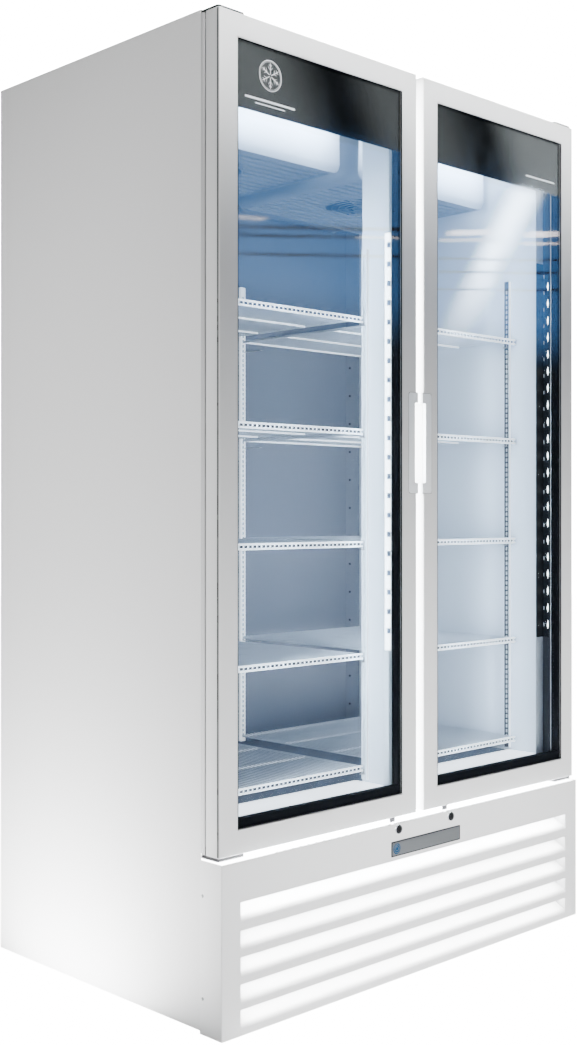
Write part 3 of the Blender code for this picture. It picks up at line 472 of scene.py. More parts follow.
FINS = surface("fin_stack", (0.66, 0.67, 0.68), 0.38, metallic=1.0, ribs=("X", 0.0024, 0.0006))
COPPER = surface("copper_tube", (0.62, 0.25, 0.13), 0.28, metallic=1.0, grain=200.0, mottle=0.18,
                 rough_spread=0.10)
DOOR_GLASS = glass_surface("door_glass", (0.975, 0.985, 0.99), 1.45)
LENS = glowing("lamp_lens", (0.88, 0.95, 1.0), 7.0)
LED = glowing("led_chip", (0.92, 0.97, 1.0), 15.0)
# glints: painted reflections of the jamb lamps on the black angle, not lamps
GLINT = glowing("led_glint", (0.80, 0.90, 1.0), 0.5)


def recoat(mat, *names):
    """Gives CAD nodes their finished material."""
    for name in names:
        slots = NODES[name].data.materials
        slots.clear()
        slots.append(mat)


# ---------------------------------------------------------------- doors

DOOR_LOW, DOOR_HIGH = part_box("left_door_frame")
DOOR_FRONT, DOOR_REAR, DOOR_TOP = DOOR_LOW.y, DOOR_HIGH.y, DOOR_HIGH.z
DOOR_BOTTOM = 0.352
STILE = 0.048
BREAKER_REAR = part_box("front_frame")[1].y
CABINET_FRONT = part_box("outer_left_panel")[0].y
OVERCUT = 0.01
GLAZING_BEAD = 0.0022
BEAD_GROOVE = 0.0005
REVEAL_DEPTH = 0.0295
REAR_CHAMFER = 0.012
HANDLE_WIDTH = 0.027
HANDLE_DEPTH = 0.010
FINGER_WIDTH = 0.007
FINGER_Z = (1.082, 1.260)
PULL_RADIUS = 0.007
PULL_GROOVE = 0.0006
HEADER_BOTTOM = 1.806
PANE = 0.004
PRINT = 0.0002
SPACER = 0.0065
BOTTOM_SPACER = 0.019
HIDDEN = 0.0001
SHADE_STRIP_SHEET = 0.0012
SHADE_STRIP_SETBACK = 0.0024
SHADE_STRIP_DEPTH = 0.0048
GASKET_WIDTH = 0.014
GASKET_WAIST = 0.0028
GASKET_INSET = 0.0066
KEEPER_OFFSET = 0.0065
KEEPER_HALF_WIDTH = 0.008
KEEPER_SETBACK = 0.0008
KEEPER_THICKNESS = 0.003
KEEPER_OVERLAP = 0.0015
EMBLEM_CENTRE = (-0.4533, 1.8850)
EMBLEM_RADIUS = 0.031
HINGE_PLATE = 0.004
HINGE_STEP = 0.0016
HINGE_FLANGE = 0.012
HINGE_FLANGE_SHEET = 0.0035
PIN_RADIUS = 0.0038
PIN_REACH = 0.0155
BUSH_RADIUS = 0.0055
BUSH_HEIGHT = 0.0014


def door_ends(side, sign):
    """The x of a door's hinge edge and of its meeting edge."""
    return x_ends(*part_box(f"{side}_door_frame"), sign)


def build_door_frame(side, sign):
    """A coated channel with rounded edges and a glazing bead, notched for the pull."""
    bead = STILE - GLAZING_BEAD
    groove = DOOR_FRONT + BEAD_GROOVE
    profile = fillet([
        (0.0, DOOR_REAR, 0.001),
        (0.0, DOOR_FRONT, 0.0028),
        (bead - BEAD_GROOVE, DOOR_FRONT, 0.0002),
        (bead - BEAD_GROOVE, groove, 0.0),
        (bead, groove, 0.0),
        (bead, DOOR_FRONT, 0.0004),
        (STILE, DOOR_FRONT, 0.0012),
        (STILE, DOOR_FRONT + REVEAL_DEPTH, 0.0006),
        (STILE - REAR_CHAMFER, DOOR_REAR, 0.0006),
    ])
    ends = door_ends(side, sign)
    bm = add_picture_frame(bmesh.new(), profile, sorted(ends), (DOOR_BOTTOM, DOOR_TOP))
    channel = piece(
        f"{side}_door_channel", bm, PAINT, f"{side}_door", "white_paint", f"{side}_door_frame"
    )
    pull_low, pull_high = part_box(f"{side}_door_pull")
    past_edge = ends[1] - sign * OVERCUT
    pocket = add_box(
        bmesh.new(), (past_edge, DOOR_FRONT - OVERCUT, pull_low.z),
        (ends[1] + sign * HANDLE_WIDTH, DOOR_FRONT + HANDLE_DEPTH, pull_high.z),
    )
    finger = add_box(
        bmesh.new(), (past_edge, DOOR_FRONT - OVERCUT, FINGER_Z[0]),
        (ends[1] + sign * FINGER_WIDTH, DOOR_REAR + OVERCUT, FINGER_Z[1]),
    )
    carve(channel, pocket, finger)


def build_pull(side, sign):
    """The pull's moulded plate, rounded at its far corners, with the finger opening let in."""
    low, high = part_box(f"{side}_door_pull")
    far_edge, gap_edge = x_ends(low, high, sign)
    notch = door_ends(side, sign)[1] + sign * FINGER_WIDTH
    outline = fillet([
        (gap_edge, low.z, 0.0015), (far_edge, low.z, PULL_RADIUS), (far_edge, high.z, PULL_RADIUS),
        (gap_edge, high.z, 0.0015), (gap_edge, FINGER_Z[1], 0.001), (notch, FINGER_Z[1], 0.0025),
        (notch, FINGER_Z[0], 0.0025), (gap_edge, FINGER_Z[0], 0.001),
    ])
    bm = add_prism(bmesh.new(), outline, 1, low.y - 0.0006, high.y, bevel=0.0007)
    piece(f"{side}_pull_insert", bm, CLEAR_WHITE, f"{side}_door", "white_paint", f"{side}_door_pull")
    outside = far_edge + sign * PULL_GROOVE
    inside = far_edge - sign * 0.002
    seat = fillet([
        (gap_edge, low.z - PULL_GROOVE, 0.002), (outside, low.z - PULL_GROOVE, 0.0076),
        (outside, high.z + PULL_GROOVE, 0.0076), (gap_edge, high.z + PULL_GROOVE, 0.002),
        (gap_edge, high.z - 0.002, 0.0), (inside, high.z - 0.002, 0.006),
        (inside, low.z + 0.002, 0.006), (gap_edge, low.z + 0.002, 0.0),
    ])
    bm = add_prism(bmesh.new(), seat, 1, low.y - 0.0002, low.y + 0.001)
    piece(f"{side}_pull_seat", bm, RUBBER, f"{side}_door", "grey_rubber")


def build_glass_unit(side):
    """Two panes, the dark spacer and setting strip between them, seals and the printed header."""
    low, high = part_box(f"{side}_glass_unit")
    body = f"{side}_door"
    x_pair, z_pair = (low.x, high.x), (low.z, high.z)
    bm = add_box(bmesh.new(), low, (high.x, low.y + PANE, high.z))
    piece(f"{side}_front_pane", bm, DOOR_GLASS, body, "door_glass", f"{side}_glass_unit")
    bm = add_box(bmesh.new(), (low.x, high.y - PANE, low.z), high)
    piece(f"{side}_rear_pane", bm, DOOR_GLASS, body, "door_glass")
    print_y = low.y + PANE + PRINT
    front, rear = print_y + PRINT, high.y - PANE - PRINT
    spacer = fillet([(0.0, front, 0.0), (SPACER, front, 0.0008), (SPACER, rear, 0.0008), (0.0, rear, 0.0)])
    bm = add_picture_frame(bmesh.new(), spacer, x_pair, z_pair)
    piece(f"{side}_glass_spacer", bm, JET, body, "black_plastic")
    strip = fillet([
        (front, low.z + SPACER, 0.0), (rear, low.z + SPACER, 0.0),
        (rear, low.z + BOTTOM_SPACER, 0.003), (front, low.z + BOTTOM_SPACER, 0.004),
    ])
    bm = add_prism(bmesh.new(), strip, 0, low.x + SPACER, high.x - SPACER)
    piece(f"{side}_setting_strip", bm, JET, body, "black_plastic")
    bm = add_box(bmesh.new(), (low.x, print_y, HEADER_BOTTOM), (high.x, print_y + PRINT, high.z))
    piece(f"{side}_header_print", bm, BLACK_GLOSS, body, "black_plastic")
    seal = low.y - 0.0012
    bead = fillet([
        (-HIDDEN, seal, 0.0), (0.0022, seal, 0.0009), (0.0022, low.y, 0.0), (-HIDDEN, low.y, 0.0),
    ])
    bm = add_picture_frame(bmesh.new(), bead, x_pair, z_pair)
    piece(f"{side}_glazing_seal", bm, JET, body, "grey_rubber")
    stop_rear = DOOR_FRONT + REVEAL_DEPTH - 0.0008
    stop = fillet([
        (-HIDDEN, high.y, 0.0), (0.0050, high.y, 0.0), (0.0036, stop_rear, 0.0010),
        (-HIDDEN, stop_rear, 0.0),
    ])
    bm = add_picture_frame(bmesh.new(), stop, x_pair, z_pair)
    piece(f"{side}_rear_stop", bm, JET, body, "black_plastic")
    line_rear = stop_rear + 0.0005
    line = [(-HIDDEN, stop_rear), (0.0030, stop_rear), (0.0030, line_rear), (-HIDDEN, line_rear)]
    bm = add_picture_frame(bmesh.new(), line, x_pair, z_pair)
    piece(f"{side}_stop_edge", bm, POST_WHITE, body, "grey_rubber")


def build_edge_shade(side, sign):
    """A dark strip along the door's outer edge, just behind its face: painted shade for the groove there.
    """
    outer = door_ends(side, sign)[0]
    front = DOOR_FRONT + SHADE_STRIP_SETBACK
    bm = add_box(
        bmesh.new(), (outer + sign * HIDDEN, front, DOOR_BOTTOM + 0.002),
        (outer - sign * (SHADE_STRIP_SHEET + HIDDEN), front + SHADE_STRIP_DEPTH, DOOR_TOP - 0.002),
    )
    piece(f"{side}_edge_shade_strip", bm, EDGE_PAINTED_SHADE, f"{side}_door", "white_paint")


def build_gasket(side, sign):
    """A bellows gasket with a waist between its door side and its magnet tube."""
    low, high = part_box(f"{side}_door_gasket")
    outer = sign * (abs(door_ends(side, sign)[0]) - GASKET_INSET)
    x_pair = sorted((outer, x_ends(low, high, sign)[1]))
    depth = high.y - low.y
    foot, waist, tube = (low.y + share * depth for share in (0.25, 0.42, 0.60))
    width = GASKET_WIDTH
    profile = fillet([
        (0.001, low.y, 0.0), (width - 0.001, low.y, 0.0), (width, foot, 0.001),
        (width - GASKET_WAIST, waist, 0.001), (width, tube, 0.001), (width, high.y, 0.0015),
        (0.0, high.y, 0.0015), (0.0, tube, 0.001), (GASKET_WAIST, waist, 0.001), (0.0, foot, 0.001),
    ], 3)
    bm = add_picture_frame(bmesh.new(), profile, x_pair, (low.z, high.z))
    piece(f"{side}_bellows_gasket", bm, SOFT_GREY, f"{side}_door", "grey_rubber", f"{side}_door_gasket")


def build_keeper(side):
    """The lock's keeper, a tab hanging from the door's lower edge."""
    centre = JOINTS[f"{side}_lock_turn"]["pos_m"][0] - KEEPER_OFFSET
    left, right = centre - KEEPER_HALF_WIDTH, centre + KEEPER_HALF_WIDTH
    bottom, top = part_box(f"{side}_door_frame")[0].z, DOOR_BOTTOM + KEEPER_OVERLAP
    front = DOOR_FRONT + KEEPER_SETBACK
    outline = fillet([(left, top, 0.0), (left, bottom, 0.0012), (right, bottom, 0.0012), (right, top, 0.0)])
    bm = add_prism(bmesh.new(), outline, 1, front, front + KEEPER_THICKNESS, bevel=0.0003)
    piece(f"{side}_lock_keeper", bm, RUBBER, f"{side}_door", "zinc_steel")


def build_header_marks():
    """A plain snowflake in a ring over two bars on the left header, and one bar on the right."""
    print_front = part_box("left_glass_unit")[0].y + PANE
    y_pair = (print_front + 0.00002, print_front + PRINT - 0.00002)
    cx, cz = EMBLEM_CENTRE

    def turned(points, angle):
        c, s = math.cos(angle), math.sin(angle)
        return [(cx + x * c - z * s, cz + x * s + z * c) for x, z in points]

    bm = bmesh.new()
    thick = y_pair[1] - y_pair[0]
    for radius, line in ((EMBLEM_RADIUS, 0.0014), (EMBLEM_RADIUS - 0.0032, 0.0006)):
        ring = [(radius, 0.0), (radius, thick), (radius - line, thick), (radius - line, 0.0)]
        add_turned(bm, ring, (cx, y_pair[0], cz), 1, 64, closed=True)
    reach = EMBLEM_RADIUS - 0.006
    for arm in range(6):
        angle = math.tau * arm / 6 + math.pi / 2
        bar = [(0.003, -0.0008), (reach, -0.0008), (reach, 0.0008), (0.003, 0.0008)]
        add_prism(bm, turned(bar, angle), 1, *y_pair)
        for start, length in ((0.42, 0.0085), (0.70, 0.0060)):
            for side in (-1, 1):
                tip = (reach * start + length * 0.7, side * length * 0.72)
                foot = reach * start
                twig = [(foot, 0.0), (foot + 0.0016, 0.0), (tip[0] + 0.0012, tip[1]), tip]
                add_prism(bm, turned(twig, angle), 1, *y_pair)
    piece("header_snowflake", bm, PRINT_WHITE, "left_door", "white_paint")
    bars = (
        ("left", "header_bar_upper", (-0.522, -0.385), (1.8300, 1.8345)),
        ("left", "header_bar_lower", (-0.494, -0.413), (1.8225, 1.8250)),
        ("right", "header_bar_right", (0.405, 0.524), (1.8350, 1.8392)),
    )
    for side, name, x_pair, z_pair in bars:
        bm = add_prism(bmesh.new(), fillet(rectangle(x_pair, z_pair, 0.0012)), 1, *y_pair)
        piece(name, bm, PRINT_WHITE, f"{side}_door", "white_paint")


def add_screw(bm, centre, axis, radius, facing):
    """A pan-head screw with a round recess, its head standing off centre along facing * axis."""
    head = radius * 0.55
    profile = [(0.0, 0.0), (radius, 0.0), (radius, 0.25 * head)]
    profile += [
        (radius * math.cos(a), 0.25 * head + 0.75 * head * math.sin(a))
        for a in (0.35, 0.7, 1.05)
    ]
    profile += [(radius * 0.30, head), (radius * 0.26, 0.45 * head), (0.0, 0.40 * head)]
    add_turned(bm, [(r, facing * h) for r, h in profile], centre, axis, 20)


def build_hinge(side, sign, end):
    """A bracket plate with a pin bush and a flange on the cabinet."""
    node = f"{side}_{end}_hinge"
    low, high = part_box(node)
    if end == "lower":
        up, back, face, finish = 1, low.z - HINGE_STEP, low.z + HINGE_PLATE, HINGE_GREY
    else:
        up, back, face, finish = -1, high.z, high.z - HINGE_PLATE, BLACK
    outer, inner = x_ends(low, high, sign)
    outline = fillet([
        (outer, high.y, 0.0), (outer, low.y, 0.006), (inner, low.y, 0.004), (inner, high.y, 0.0),
    ][::-sign])
    bm = add_prism(bmesh.new(), outline, 2, *sorted((back, face)), bevel=0.0006)
    flange_z = sorted((back, face + up * HINGE_FLANGE))
    flange_x = (low.x + 0.001, high.x - 0.001)
    flange = add_prism(
        bmesh.new(), fillet(rectangle(flange_x, flange_z, 0.002)), 1, high.y - HINGE_FLANGE_SHEET, high.y
    )
    piece(f"{node}_flange", flange, SOFT_GREY, "cabinet", "zinc_steel")
    pin_x, pin_y, _ = JOINTS[f"{side}_door_hinge"]["pos_m"]
    reach = up * PIN_REACH
    pin = [
        (0.0, 0.0), (PIN_RADIUS, 0.0), (PIN_RADIUS, 0.9 * reach), (PIN_RADIUS - 0.001, reach),
        (0.0, reach),
    ]
    add_turned(bm, pin, (pin_x, pin_y, face), 2, 24)
    bush = [
        (0.0, 0.0), (BUSH_RADIUS, 0.0), (BUSH_RADIUS - 0.0005, up * (0.0002 - BUSH_HEIGHT)),
        (0.0, -up * BUSH_HEIGHT),
    ]
    add_turned(bm, bush, (pin_x, pin_y, back), 2, 24)
    piece(f"{node}_bracket", bm, finish, "cabinet", "zinc_steel", node)


for side, sign in SIDES:
    build_door_frame(side, sign)
    build_pull(side, sign)
    build_glass_unit(side)
    build_gasket(side, sign)
    build_edge_shade(side, sign)
    build_keeper(side)
    for end in ("lower", "upper"):
        build_hinge(side, sign, end)
build_header_marks()


# ---------------------------------------------------------------- interior

PILASTER_PITCH = 0.0127
SLOT_LENGTH = 0.0085
SHEET = 0.001
WIRE_RADIUS = 0.0014
ROD_RADIUS = 0.0022
RAIL_RADIUS = 0.0020
WIRE_PITCH = 0.0127
WIRE_INSET = 0.006
SLOT_HALF_GAP = 0.0026
WEB_INSET = 0.0008
CLIP_REACH = 0.012
CLIP_HALF = 0.005
CLIP_SEAT = 0.0006
LED_PITCH = 0.043
LAMP_INSET = 0.01
ANGLE_SHEET = 0.0012
SPINDLE = ((0.0, 0.0115), (0.0005, 0.0075), (0.0012, 0.0038))
SPINDLE_RADIUS = 0.0016
WING = 0.0045
HOUSING_RADIUS = 0.020
HOUSING_LIP = 0.012
PORT_RADIUS = 0.093
RIB_COUNT = 15
RIB_INSET = 0.026
RIB_CLEARANCE = 0.098
GUARD_WIRE = 0.0012
GUARD_RINGS = (0.022, 0.040, 0.058, 0.076, 0.094)
GUARD_ARM = 0.096
LINER_HALF_WIDTH = 0.542
PLUG_SETBACK = 0.0194
PLUG_COUNT = 14
PLUG_BASE = 0.47
PLUG_PITCH = 0.080


def build_pilaster(name, wall_axis, wall_side, backing, web_coat):
    """A channel strip with a row of square slots; its web faces away from the wall."""
    low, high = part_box(name)
    across = 1 - wall_axis
    left, right = low[across], high[across]
    centre = (left + right) / 2

    def add_strip(bm, width, depth, inset=0.0, bevel=0.0):
        corner, opposite = [0.0, 0.0, low.z + inset], [0.0, 0.0, high.z - inset]
        corner[across], opposite[across] = width
        corner[wall_axis], opposite[wall_axis] = depth
        return add_box(bm, corner, opposite, bevel)

    cuts = [left + WEB_INSET, centre - SLOT_HALF_GAP, centre + SLOT_HALF_GAP, right - WEB_INSET]
    rows = [low.z]
    for i in range(int((high.z - low.z - 0.020) / PILASTER_PITCH)):
        slot = low.z + 0.012 + i * PILASTER_PITCH
        rows += [slot, slot + SLOT_LENGTH]
    rows.append(high.z)
    web = low[wall_axis] if wall_side > 0 else high[wall_axis]
    sheet = sorted((web, web + wall_side * SHEET))
    bm = bmesh.new()
    add_slotted_sheet(bm, wall_axis, cuts, rows, sheet, lambda i, j: i == 1 and j % 2 == 1)
    piece(f"{name}_web", bm, web_coat, "cabinet", "shelf_coating", name)
    bm = bmesh.new()
    for edge, way in ((left, 1), (right, -1)):
        add_strip(bm, (edge, edge + way * SHEET), (low[wall_axis], high[wall_axis]), bevel=0.0004)
    # The flanges glow a little: painted light.
    piece(f"{name}_flanges", bm, STRIP_PAINTED_LIGHT, "cabinet", "shelf_coating")
    # A strip behind the web, seen through its slots; where it is black it is painted shade in the slots.
    back = web + wall_side * 0.004
    bm = add_strip(
        bmesh.new(), (centre - 0.005, centre + 0.005), (back, back + wall_side * 0.0005), inset=0.01
    )
    piece(f"{name}_backing", bm, backing, "cabinet", "black_plastic")


def build_shelf(name):
    """Close wires running front to back, turned down at the front on to a lower rail."""
    low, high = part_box(name)
    top = high.z - WIRE_RADIUS
    front = low.y + WIRE_RADIUS
    rod_z = top - WIRE_RADIUS - ROD_RADIUS + 0.0004
    depth = high.y - low.y
    width = high.x - low.x - 2 * WIRE_INSET
    count = round(width / WIRE_PITCH)
    places = [low.x + WIRE_INSET + i * (width / count) for i in range(count + 1)]
    bm = bmesh.new()
    for x in places:
        path = [(x, high.y - 0.001, top), (x, front, top), (x, front, low.z + 0.001)]
        add_tube(bm, bent_path(path, 0.003, 3), WIRE_RADIUS, 6)
    for x in (low.x + ROD_RADIUS, high.x - ROD_RADIUS):
        add_tube(bm, [(x, low.y + 0.004, rod_z), (x, high.y - 0.004, rod_z)], ROD_RADIUS, 10)
    piece(f"{name}_wires", bm, WIRE_COAT, "cabinet", "shelf_coating", name)
    bm = bmesh.new()
    for y in (low.y + 0.010, low.y + 0.36 * depth, low.y + 0.68 * depth, high.y - 0.008):
        add_tube(bm, [(low.x + 0.001, y, rod_z), (high.x - 0.001, y, rod_z)], ROD_RADIUS, 10)
    # The cross rods glow a little: painted light.
    piece(f"{name}_cross_rods", bm, STRIP_PAINTED_LIGHT, "cabinet", "shelf_coating")
    bm = bmesh.new()
    rail_y, wire_y = low.y + RAIL_RADIUS, low.y + 0.002
    for z in (high.z - RAIL_RADIUS, low.z + RAIL_RADIUS):
        add_tube(bm, [(low.x, rail_y, z), (high.x, rail_y, z)], RAIL_RADIUS, 12)
    for x in places:
        add_tube(bm, [(x, wire_y, low.z + 0.002), (x, wire_y, high.z - 0.002)], 0.0017, 6)
    # The front rails glow: painted light.
    piece(f"{name}_front_rail", bm, RAIL_PAINTED_LIGHT, "cabinet", "shelf_coating")
    bm = add_box(
        bmesh.new(), (low.x + 0.002, low.y + 0.0052, low.z + 0.0015),
        (high.x - 0.002, low.y + 0.0060, high.z - 0.0030), 0.0002,
    )
    piece(f"{name}_front_band", bm, SHADOW, "cabinet", "shelf_coating")


def build_clips(side, sign, index):
    """Three steel hooks and a back tab that carry one shelf."""
    low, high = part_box(f"{side}_shelf_{index}")
    bm = bmesh.new()
    rest = low.z - CLIP_SEAT
    tab = (rest - 0.0055, rest - 0.0040)
    for place, way in (("front", -sign), ("rear", -sign), ("mullion", sign)):
        strip_low, strip_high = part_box(f"{side}_{place}_pilaster")
        face = strip_low.x if way < 0 else strip_high.x
        y = (strip_low.y + strip_high.y) / 2
        bend = face + 0.0015 * way
        path = [
            (face - 0.002 * way, y, rest + 0.005), (bend, y, rest + 0.005), (bend, y, rest - 0.0035),
            (face + CLIP_REACH * way, y, rest - 0.0035),
        ]
        add_tube(bm, bent_path(path, 0.001, 2), 0.0012, 8)
        add_box(
            bm, (face, y - CLIP_HALF, tab[0]), (face + CLIP_REACH * way, y + CLIP_HALF, tab[1]), 0.0004
        )
    back_low, back_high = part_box(f"{side}_back_pilaster")
    x = (back_low.x + back_high.x) / 2
    add_box(bm, (x - CLIP_HALF, high.y - 0.006, tab[0]), (x + CLIP_HALF, back_low.y, tab[1]), 0.0004)
    piece(f"{side}_shelf_{index}_clips", bm, STEEL, "cabinet", "zinc_steel")


def lamp_heights(z_pair, first):
    """Heights one pitch apart, the first of them that share of a pitch above the lower end."""
    count = int((z_pair[1] - z_pair[0]) / LED_PITCH)
    return [z_pair[0] + (i + first) * LED_PITCH for i in range(count)]


def build_jamb_lamp(side, sign):
    """A thin black angle in the jamb's step with a column of lamps along its front edge."""
    node = f"{side}_lamp_strip"
    low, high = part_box(node)
    outer, inner = x_ends(low, high, sign)
    face = outer - sign * ANGLE_SHEET
    floor = high.y - ANGLE_SHEET
    outline = fillet([
        (inner, floor, 0.0), (face, floor, 0.001), (face, low.y, 0.0005), (outer, low.y, 0.0),
        (outer, high.y, 0.0), (inner, high.y, 0.0),
    ])
    bm = add_prism(bmesh.new(), outline, 2, low.z, high.z)
    piece(f"{node}_angle", bm, JET, "cabinet", "lamp_strip", node)
    z_pair = (low.z + LAMP_INSET, high.z - LAMP_INSET)
    spindle = [(radius, -height) for radius, height in SPINDLE]
    spindle += [(SPINDLE_RADIUS, 0.0)] + list(SPINDLE[::-1])
    bm = bmesh.new()
    for z in lamp_heights(z_pair, 0.5):
        add_turned(bm, spindle, (face - sign * 0.0006, low.y + 0.0012, z), 2, 12)
    piece(f"{node}_leds", bm, LED, "cabinet", "lamp_strip")
    # Small glowing bars beside the lamps: painted reflections of them on the angle's face.
    bm = bmesh.new()
    count = int((z_pair[1] - z_pair[0]) / LED_PITCH) + 1
    y = low.y + 0.0130
    for i in range(count):
        z = z_pair[0] + (z_pair[1] - z_pair[0]) * (i + 0.5) / count
        add_box(bm, (face, y - 0.0004, z - 0.0045), (face - sign * 0.0012, y + 0.0004, z + 0.0045), 0.0005)
    piece(f"{node}_glints", bm, GLINT, "cabinet", "lamp_strip")


def build_mullion_cover():
    """The white cover over the mullion's front, its two front corners lit by lamp columns."""
    low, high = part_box("mullion_lamp_strip")
    plate = low.y + 0.0028
    corners = [
        (low.x, low.y, 0.002), (high.x, low.y, 0.002), (high.x, high.y, 0.001),
        (high.x - WING, high.y, 0.001), (high.x - WING, plate, 0.0006),
        (low.x + WING, plate, 0.0006), (low.x + WING, high.y, 0.001), (low.x, high.y, 0.001),
    ]
    bm = add_prism(bmesh.new(), fillet(corners), 2, low.z, high.z, bevel=0.0005)
    piece("mullion_front_cover", bm, POST_WHITE, "cabinet", "lamp_strip", "mullion_lamp_strip")
    jamb_low, jamb_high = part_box("left_lamp_strip")
    z_pair = (jamb_low.z + LAMP_INSET, jamb_high.z - LAMP_INSET)
    for side, sign in SIDES:
        edge = x_ends(low, high, sign)[0]
        x_pair = sorted((edge + sign * 0.0005, edge - sign * 0.0062))
        corner = fillet(rectangle(x_pair, (low.y - 0.0005, high.y - 0.004), 0.0015))
        bm = add_prism(bmesh.new(), corner, 2, *z_pair, bevel=0.0005)
        piece(f"mullion_{side}_lens", bm, LENS, "cabinet", "lamp_strip")
        bm = bmesh.new()
        ends = (edge + sign * 0.0009, edge - sign * 0.0050)
        for z in lamp_heights(z_pair, 1.0):
            add_box(
                bm, (ends[0], low.y - 0.0009, z - 0.0065), (ends[1], low.y + 0.0058, z + 0.0065), 0.0010
            )
        piece(f"mullion_{side}_lens_marks", bm, MARK, "cabinet", "lamp_strip")


def build_housing(side):
    """The white evaporator cover: rounded lower corners, a lipped, ribbed underside, a fan guard."""
    node = f"{side}_fan_housing"
    low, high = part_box(node)
    fan_x, fan_y, _ = JOINTS[f"{side}_fan_spin"]["pos_m"]
    outline = fillet([
        (low.x, high.z, 0.0), (low.x, low.z, HOUSING_RADIUS), (high.x, low.z, HOUSING_RADIUS),
        (high.x, high.z, 0.0),
    ], 6)
    bm = add_prism(bmesh.new(), outline, 1, low.y, high.y, bevel=0.0035, segments=3)
    # The shell and its ribs take the darkened housing finish, painted shade on the white cover.
    shell = piece(f"{node}_shell", bm, HOUSING_PAINTED_SHADE, "cabinet", "liner_white", node)
    underside = rectangle(
        (low.x + 0.020, high.x - 0.020), (low.y + HOUSING_LIP, high.y - HOUSING_LIP), 0.010
    )
    recess = add_prism(bmesh.new(), fillet(underside), 2, low.z - OVERCUT, low.z + 0.006)
    hollow = add_box(
        bmesh.new(), (low.x + 0.004, low.y + 0.004, low.z + 0.010),
        (high.x - 0.004, high.y - 0.004, high.z + OVERCUT),
    )
    carve(shell, recess, hollow, drill((fan_x, fan_y, low.z), 2, PORT_RADIUS, 0.03, 48))
    bm = bmesh.new()
    span = (low.y + HOUSING_LIP + 0.010, high.y - HOUSING_LIP - 0.010)
    ends = (low.x + RIB_INSET, high.x - RIB_INSET)
    for i in range(RIB_COUNT):
        y = span[0] + (span[1] - span[0]) * i / (RIB_COUNT - 1)
        reach = math.sqrt(max(0.0, RIB_CLEARANCE ** 2 - (y - fan_y) ** 2))
        for x0, x1 in ((ends[0], fan_x - reach), (fan_x + reach, ends[1])) if reach else (ends,):
            add_box(bm, (x0, y - 0.0022, low.z + 0.0015), (x1, y + 0.0022, low.z + 0.0065), 0.0008)
    piece(f"{node}_ribs", bm, HOUSING_PAINTED_SHADE, "cabinet", "liner_white")
    bm = bmesh.new()
    turns = [math.tau * k / 40 for k in range(41)]
    ring_z, arm_z = low.z + 0.003, low.z + 0.0048
    for radius in GUARD_RINGS:
        path = [(fan_x + radius * math.cos(a), fan_y + radius * math.sin(a), ring_z) for a in turns]
        add_tube(bm, path, GUARD_WIRE, 6)
    for arm in range(4):
        angle = math.tau * arm / 4 + 0.4
        tip = (fan_x + GUARD_ARM * math.cos(angle), fan_y + GUARD_ARM * math.sin(angle), arm_z)
        add_tube(bm, [(fan_x, fan_y, arm_z), tip], GUARD_WIRE, 6)
    piece(f"{side}_fan_guard", bm, STEEL, "cabinet", "zinc_steel")


def build_corner_plugs(side, sign):
    """Round plugs up the chamfered rear corner of the liner."""
    back_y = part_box("insulated_back_wall")[0].y
    centre = Vector((sign * LINER_HALF_WIDTH - sign * PLUG_SETBACK, back_y + PLUG_SETBACK, 0.0))
    outward = Vector((-sign, -1.0, 0.0)).normalized()
    up = Vector((0, 0, 1))
    beside = outward.cross(up)
    angles = [math.tau * k / 16 for k in range(16)]
    bm = bmesh.new()
    for i in range(PLUG_COUNT):
        base = centre + Vector((0.0, 0.0, PLUG_BASE + i * PLUG_PITCH))
        rings = []
        for radius, height in ((0.0032, 0.0), (0.0032, 0.0008), (0.0020, 0.0012)):
            middle = base + outward * height
            rings.append([
                bm.verts.new(middle + beside * radius * math.cos(a) + up * (radius * math.sin(a)))
                for a in angles
            ])
        join_rings(bm, rings)
        bm.faces.new(rings[0])
        bm.faces.new(rings[-1])
    piece(f"{side}_liner_plugs", bm, BLACK, "cabinet", "black_plastic")


for side, sign in SIDES:
    # The side pilasters' webs are in painted shade, and their slots show the white backing.
    for place in ("front", "rear"):
        build_pilaster(f"{side}_{place}_pilaster", 0, sign, POST_WHITE, WEB_SHADE)
    build_pilaster(f"{side}_mullion_pilaster", 0, -sign, POST_WHITE, POST_WHITE)
    # The back pilasters' black backing is painted shade in the slots.
    build_pilaster(f"{side}_back_pilaster", 1, 1, BLACK, STRIP_PAINTED_LIGHT)
    for index in range(1, 6):
        build_shelf(f"{side}_shelf_{index}")
        build_clips(side, sign, index)
    build_jamb_lamp(side, sign)
    build_housing(side)
    build_corner_plugs(side, sign)
build_mullion_cover()


# ---------------------------------------------------------------- grille, locks and badge

GRILLE_LOW, GRILLE_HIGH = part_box("front_grille")
SLOT_TOPS = (0.2627, 0.2075, 0.1560, 0.1037, 0.0545)
SLOT_HEIGHT = 0.0255
SLOT_HALF_WIDTH = 0.549
ROLL_RADIUS = 0.013
GRILLE_SHEET = 0.0015
GRILLE_SCREW_Z = (0.0745, 0.2735)
SCREW_SETBACK = 0.0085
LOUVRE_RISE = math.radians(62.0)
LOUVRE_DEPTH = 0.052
LOCK_HOLE = 0.0106
SILL_X = (0.0378, 0.5415)
BADGE_X = (-0.109, 0.127)
BADGE_Z = (0.2715, 0.3045)
BADGE_LINE = 0.0026


